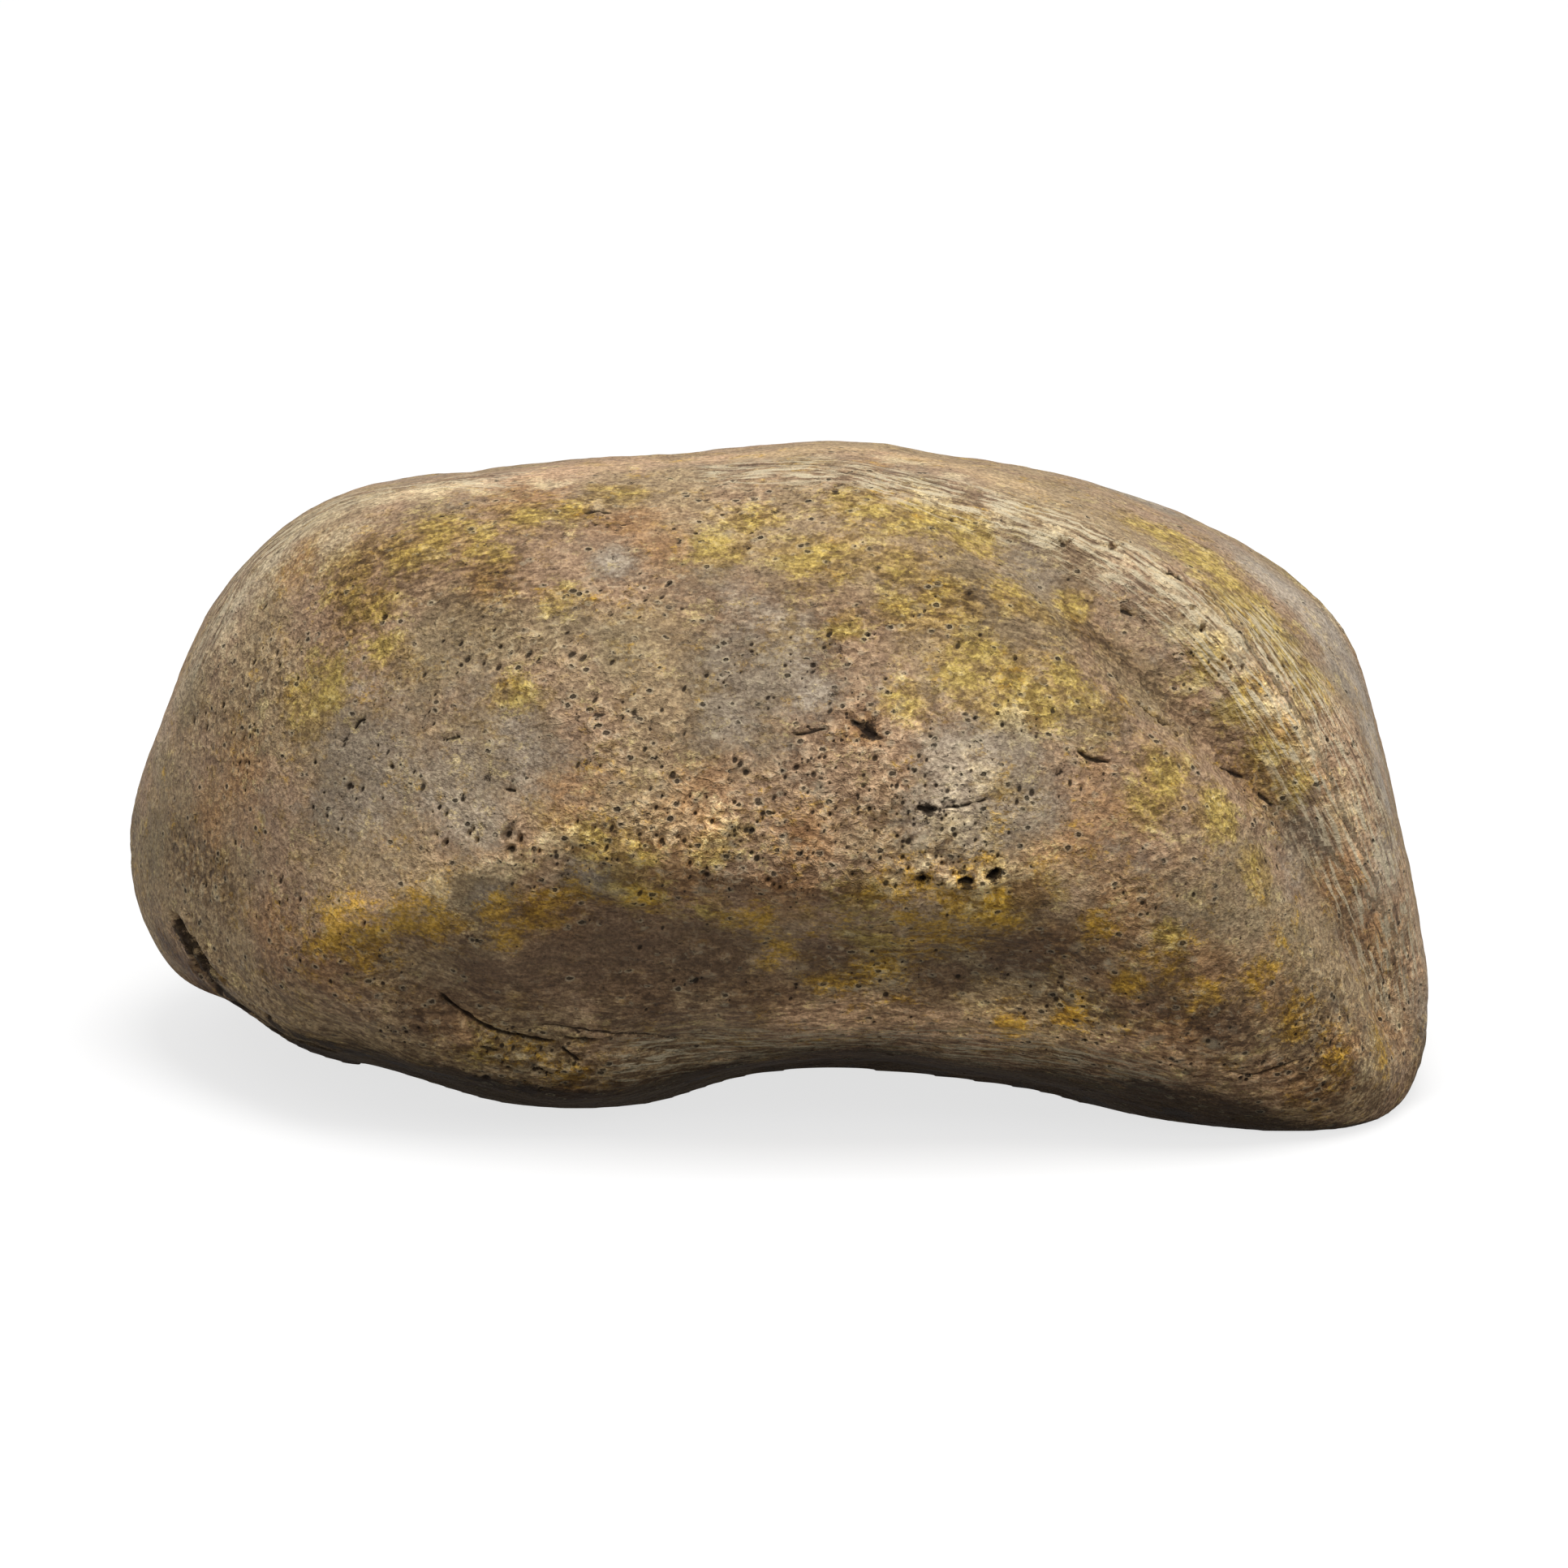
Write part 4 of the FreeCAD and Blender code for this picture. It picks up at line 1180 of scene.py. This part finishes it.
def pores_and_slot_shade(tree, texture, colour):
    """Paint the pores, with painted shade in them and painted highlight on their rims, and painted shade
    in the slots of the cracks and pits; give back the colour, pores and slots.
    """
    pores = cells_texture(tree, ragged(tree, texture["place"], texture["drawn"]), 0.95)
    crowd = maths(tree, "MULTIPLY", attribute(tree, "rough"), 0.12)
    chosen = mask(tree, maths(tree, "ADD", texture["blotch"], crowd), 0.52, 0.60)
    pore_rim_highlight = maths(tree, "MULTIPLY", mask(tree, pores, 0.36, 0.26), chosen)
    pore = maths(tree, "MULTIPLY", mask(tree, pores, 0.21, 0.13), chosen)
    slot = mask(tree, attribute(tree, "slots"), 0.25, 0.75, most=0.88)
    # painted highlight on the pores' rims, painted shade in the pores and in the cracks and pits
    colour = lay(tree, pore_rim_highlight, colour, CREAM, share=0.25)
    colour = lay(tree, pore, colour, WASH_AND_SHADE, share=0.85)
    return lay(tree, slot, colour, WASH_AND_SHADE), pore, slot


# %% [markdown]
# ### The steps together
#
# Paint on cast resin is dull.  It is a little less so where the grey covers it well, and it is
# dullest in holes and in the dirt low down.  What is too fine for the net becomes bump: threads,
# blotches, specks and pores.

# %% Stone material
def painted_resin(tree):
    """Cast resin with the painter's layers."""
    texture = stone_textures(tree)
    colour, covered = dabbed_paints(tree, texture)
    grainy = grain_of_ground(tree, covered)
    threads, strength = threads_of_strands(tree)
    colour = light_and_shade_brush(tree, texture, colour)
    colour = sponge(tree, texture, colour, covered, grainy)
    colour = stranded(tree, colour, threads, strength)
    colour, washed_and_shaded = brushed_washed_and_shaded(tree, texture, colour)
    colour, pore, slot = pores_and_slot_shade(tree, texture, colour)
    dirt = mask(tree, attribute(tree, "low"), 0.35, 0.80)
    dry = node(tree, "MapRange", {"Value": covered["ash"], 3: 0.68, 4: 0.48})
    dull = maths(tree, "MAXIMUM", dry, slot, pore, washed_and_shaded["deep"], washed_and_shaded["under"], dirt)
    specks = maths(tree, "MULTIPLY", texture["speck"], maths(tree, "ADD", 0.3, grainy))
    normal = bump(
        tree,
        (maths(tree, "MULTIPLY", threads, strength), 0.30),
        (texture["blotch"], 0.70),
        (specks, 0.50),
        (texture["fine"], 0.10),
        (maths(tree, "MULTIPLY", pore, -1.0), 0.20),
    )
    return principled(tree, colour, dull, normal, {"Specular IOR Level": 0.22})


stone.data.materials.append(new_material("painted stone", painted_resin))
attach(stone, "rock")
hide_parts("rock_shell")
print("nodes in the stone's paint:", len(stone.data.materials[0].node_tree.nodes))

# %% [markdown]
# ## Moulded plastic
#
# The key box, its frame and its cover are moulded in plastic.  A fresh moulding isn't flat and
# even: the mould's spark-eroded walls leave a fine pebble on it, long scratches come from use, and
# grit rubs the edges pale.  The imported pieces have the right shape, so they stay as they are and
# get a material with those three things.

# %% Plastic material
DUST = paint(150, 135, 112)


def moulded_plastic(tree, colour, worn, roughness):
    """Pebbled plastic with rubbed scratches."""
    place = node(tree, "TexCoord", {}, output="Object")
    pebble = cloud_texture(tree, place, 0.35, detail=2.0, roughness=0.5)
    smear = cloud_texture(tree, place, 9.0, detail=5.0, roughness=0.6)
    drawn_out = node(tree, "Mapping", {"Vector": place, "Scale": (0.03, 1.0, 1.0)})
    scratches = cloud_texture(tree, drawn_out, 0.22, detail=2.0, roughness=0.4)
    scratch = mask(tree, scratches, 0.68, 0.76, most=0.35)
    # the outward direction from a Bevel node differs from the true one only near an edge
    sides = {
        0: node(tree, "Bevel", {"Radius": 0.35 * MM}, samples=6),
        1: node(tree, "NewGeometry", {}, output="Normal"),
    }
    bend = node(tree, "VectorMath", sides, output="Value", operation="DOT_PRODUCT")
    on_edges = mask(tree, bend, 0.995, 0.90, most=0.6)
    rubbed = maths(tree, "MULTIPLY", on_edges, mask(tree, smear, 0.35, 0.6))
    tone = lay(tree, maths(tree, "MAXIMUM", scratch, rubbed), colour, worn)
    tone = lay(tree, mask(tree, smear, 0.5, 0.72), tone, DUST, share=0.18)
    rough = node(tree, "MapRange", {"Value": smear, 3: roughness - 0.08, 4: roughness + 0.12})
    return principled(tree, tone, rough, bump(tree, (pebble, 0.03), (scratch, 0.02)))


def finish_node(name, material):
    """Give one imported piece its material."""
    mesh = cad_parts[name].data
    mesh.materials.clear()
    mesh.materials.append(material)


black_plastic = new_material(
    "black plastic", moulded_plastic, paint(38, 37, 36), paint(96, 93, 88), 0.46
)
cover_plastic = new_material(
    "cover plastic", moulded_plastic, paint(52, 50, 47), paint(118, 113, 105), 0.42
)
finish_node("key_tub", black_plastic)
finish_node("cover_frame", black_plastic)
finish_node("sliding_cover", cover_plastic)

# %% [markdown]
# ## Screws and gasket
#
# The screws are zinc-plated steel: a bluish grey metal with a faint yellow cast in patches and a
# fine grain.  The gasket is closed-cell rubber.  It and the foam pad are dull and full of small
# cells, so one recipe serves both, with its own size of cell, colours and depth for each.

# %% Screws and gasket
ZINC = paint(178, 182, 188)
YELLOWED_ZINC = paint(190, 180, 150)


def zinc_steel(tree):
    """Zinc-plated steel with passivated patches."""
    place = node(tree, "TexCoord", {}, output="Object")
    patches = cloud_texture(tree, place, 1.4)
    tone = lay(tree, mask(tree, patches, 0.42, 0.62), ZINC, YELLOWED_ZINC)
    grain = cloud_texture(tree, place, 0.12, detail=2.0)
    rough = mask(tree, patches, 0.9, 0.1, most=0.5)
    return principled(tree, tone, rough, bump(tree, (grain, 0.01)), {"Metallic": 1.0})


def cellular(tree, cell, dark, light, edge, roughness, depth):
    """Rubber or foam with cells of a size in mm: darker in their middles, which is painted shade in the
    hollows of the cells, and light between them.
    """
    cells = cells_texture(tree, node(tree, "TexCoord", {}, output="Object"), cell)
    # painted shade in the hollow middles of the cells, which the bump sinks
    tone = lay(tree, mask(tree, cells, edge, 0.6), dark, light)
    return principled(tree, tone, roughness, bump(tree, (cells, depth)))


cell_rubber = new_material(
    "cell rubber", cellular, 0.3, paint(30, 29, 28), paint(56, 54, 52), 0.20, 0.90, 0.06
)
finish_node("frame_screws", new_material("zinc steel", zinc_steel))
finish_node("tub_gasket", cell_rubber)
print("packed pieces finished: five of", len(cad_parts))

# %% [markdown]
# ## The foam pad
#
# A pad of open-cell foam is glued to the tub's roof so that keys don't rattle.  Die-cut foam isn't
# a plain block: its lower face crowns a little, its sides pull in where the cutter pressed them,
# and its open cells show.  A grid for each face would leave seams, so one cube is subdivided, fitted
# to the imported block's box, crowned and given fine dents.

# %% Foam pad
PAD_CUTS = 30
PAD_CORNER = 2.2
PAD_SIDE_PULL = 0.25


def foam_pad():
    """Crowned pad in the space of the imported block, glued side up."""
    low, high = in_mm(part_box("foam_pad"))
    middle, half = (low + high) / 2, (high - low) / 2
    work = bmesh.new()
    bmesh.ops.create_cube(work, size=2.0)
    bmesh.ops.subdivide_edges(work, edges=work.edges[:], cuts=PAD_CUTS, use_grid_fill=True)
    for vertex in work.verts:
        unit = np.array(vertex.co)
        spot = unit * half
        # round the four corners of the outline
        inner = half[:2] - PAD_CORNER
        beyond = np.maximum(np.abs(spot[:2]) - inner, 0)
        distance = np.linalg.norm(beyond)
        if distance > 0:
            square = np.max(beyond)
            kept = np.minimum(np.abs(spot[:2]), inner) + beyond * square / distance
            spot[:2] = np.sign(spot[:2]) * kept
        # pull the sides in half way up, and crown the free face
        spot[:2] *= 1 - PAD_SIDE_PULL / half[:2] * (1 - unit[2] ** 2)
        if unit[2] < 0:
            crown = (1 - unit[0] ** 4) * (1 - unit[1] ** 4)
            spot[2] += 0.5 * (1 - crown) * -unit[2]
        if unit[2] < 0.9:
            fine, broad = noise.noise(Vector(spot) / 0.9), noise.noise(Vector(spot) / 3.0)
            spot[2] += 0.12 + 0.05 * fine + 0.06 * broad
        vertex.co = Vector((spot + middle) * MM)
    mesh = bpy.data.meshes.new("foam pad")
    work.to_mesh(mesh)
    work.free()
    mesh.shade_smooth()
    return new_object("key_cushion", mesh)


pad = foam_pad()
open_cell_foam = new_material(
    "open-cell foam", cellular, 0.55, paint(38, 38, 40), paint(86, 86, 90), 0.15, 0.95, 0.25
)
pad.data.materials.append(open_cell_foam)
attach(pad, "rock")
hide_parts("foam_pad")
print("faces of the pad:", len(pad.data.polygons))

# %% [markdown]
# ## Floor and light
#
# The stone lies on a white floor under a big soft lamp, with weaker light from all round.  To the
# camera the floor is white whatever the lamps do, yet keeps the shadow: for the camera it glows a
# little, and the rest of its white comes from the lamps.  For light that bounces, it is a plain pale
# grey, so that the underside of the stone stays as dark as it is on a table.

# %% Stage
FLOOR_SIZE = 6.0
FLOOR_GLOW = 0.72
AMBIENT = 0.60
BOUNCED_GREY = paint(120, 120, 120)
LIT_GREY = paint(150, 150, 150)
WHITE = (1.0, 1.0, 1.0, 1.0)


def studio_floor(tree):
    """Floor that is white to the camera and pale grey to bounced light."""
    rays = tree.nodes.new("ShaderNodeLightPath").outputs
    shown_to = [rays[kind] for kind in ("Is Camera Ray", "Is Glossy Ray", "Is Transmission Ray")]
    lit = node(tree, "BsdfDiffuse", {"Color": LIT_GREY})
    glow = node(tree, "Emission", {"Color": WHITE, "Strength": FLOOR_GLOW})
    shown = node(tree, "AddShader", {0: lit, 1: glow})
    bounced = node(tree, "BsdfDiffuse", {"Color": BOUNCED_GREY})
    return node(tree, "MixShader", {0: maths(tree, "MAXIMUM", *shown_to), 1: bounced, 2: shown})


bpy.ops.mesh.primitive_plane_add(size=FLOOR_SIZE)
floor = bpy.context.object
floor.name = "floor"
floor.data.materials.append(new_material("studio floor", studio_floor))

world = bpy.data.worlds.new("studio")
bpy.context.scene.world = world
world.use_nodes = True
background = world.node_tree.nodes["Background"]
background.inputs["Color"].default_value = WHITE
background.inputs["Strength"].default_value = AMBIENT


def soft_lamp(name, place, size, power):
    """Square lamp that looks at the stone."""
    lamp = new_object(name, bpy.data.lights.new(name, "AREA"))
    lamp.data.size = size
    lamp.data.energy = power
    lamp.location = place
    lamp.rotation_euler = (AIM - Vector(place)).to_track_quat("-Z", "Y").to_euler()


soft_lamp("ceiling", (0.05, -0.25, 0.8), 0.42, 4.5)
soft_lamp("window", (0.5, -0.7, 0.5), 0.4, 0.9)
bpy.context.scene.view_settings.view_transform = "Standard"

# %% [markdown]
# ## The imported size
#
# The relief was clipped to the imported model's box, so the dressed stone is no larger than the
# imported one.

# %% Finish
print("packed size:", [list(corner.to_tuple(4)) for corner in cad_box])
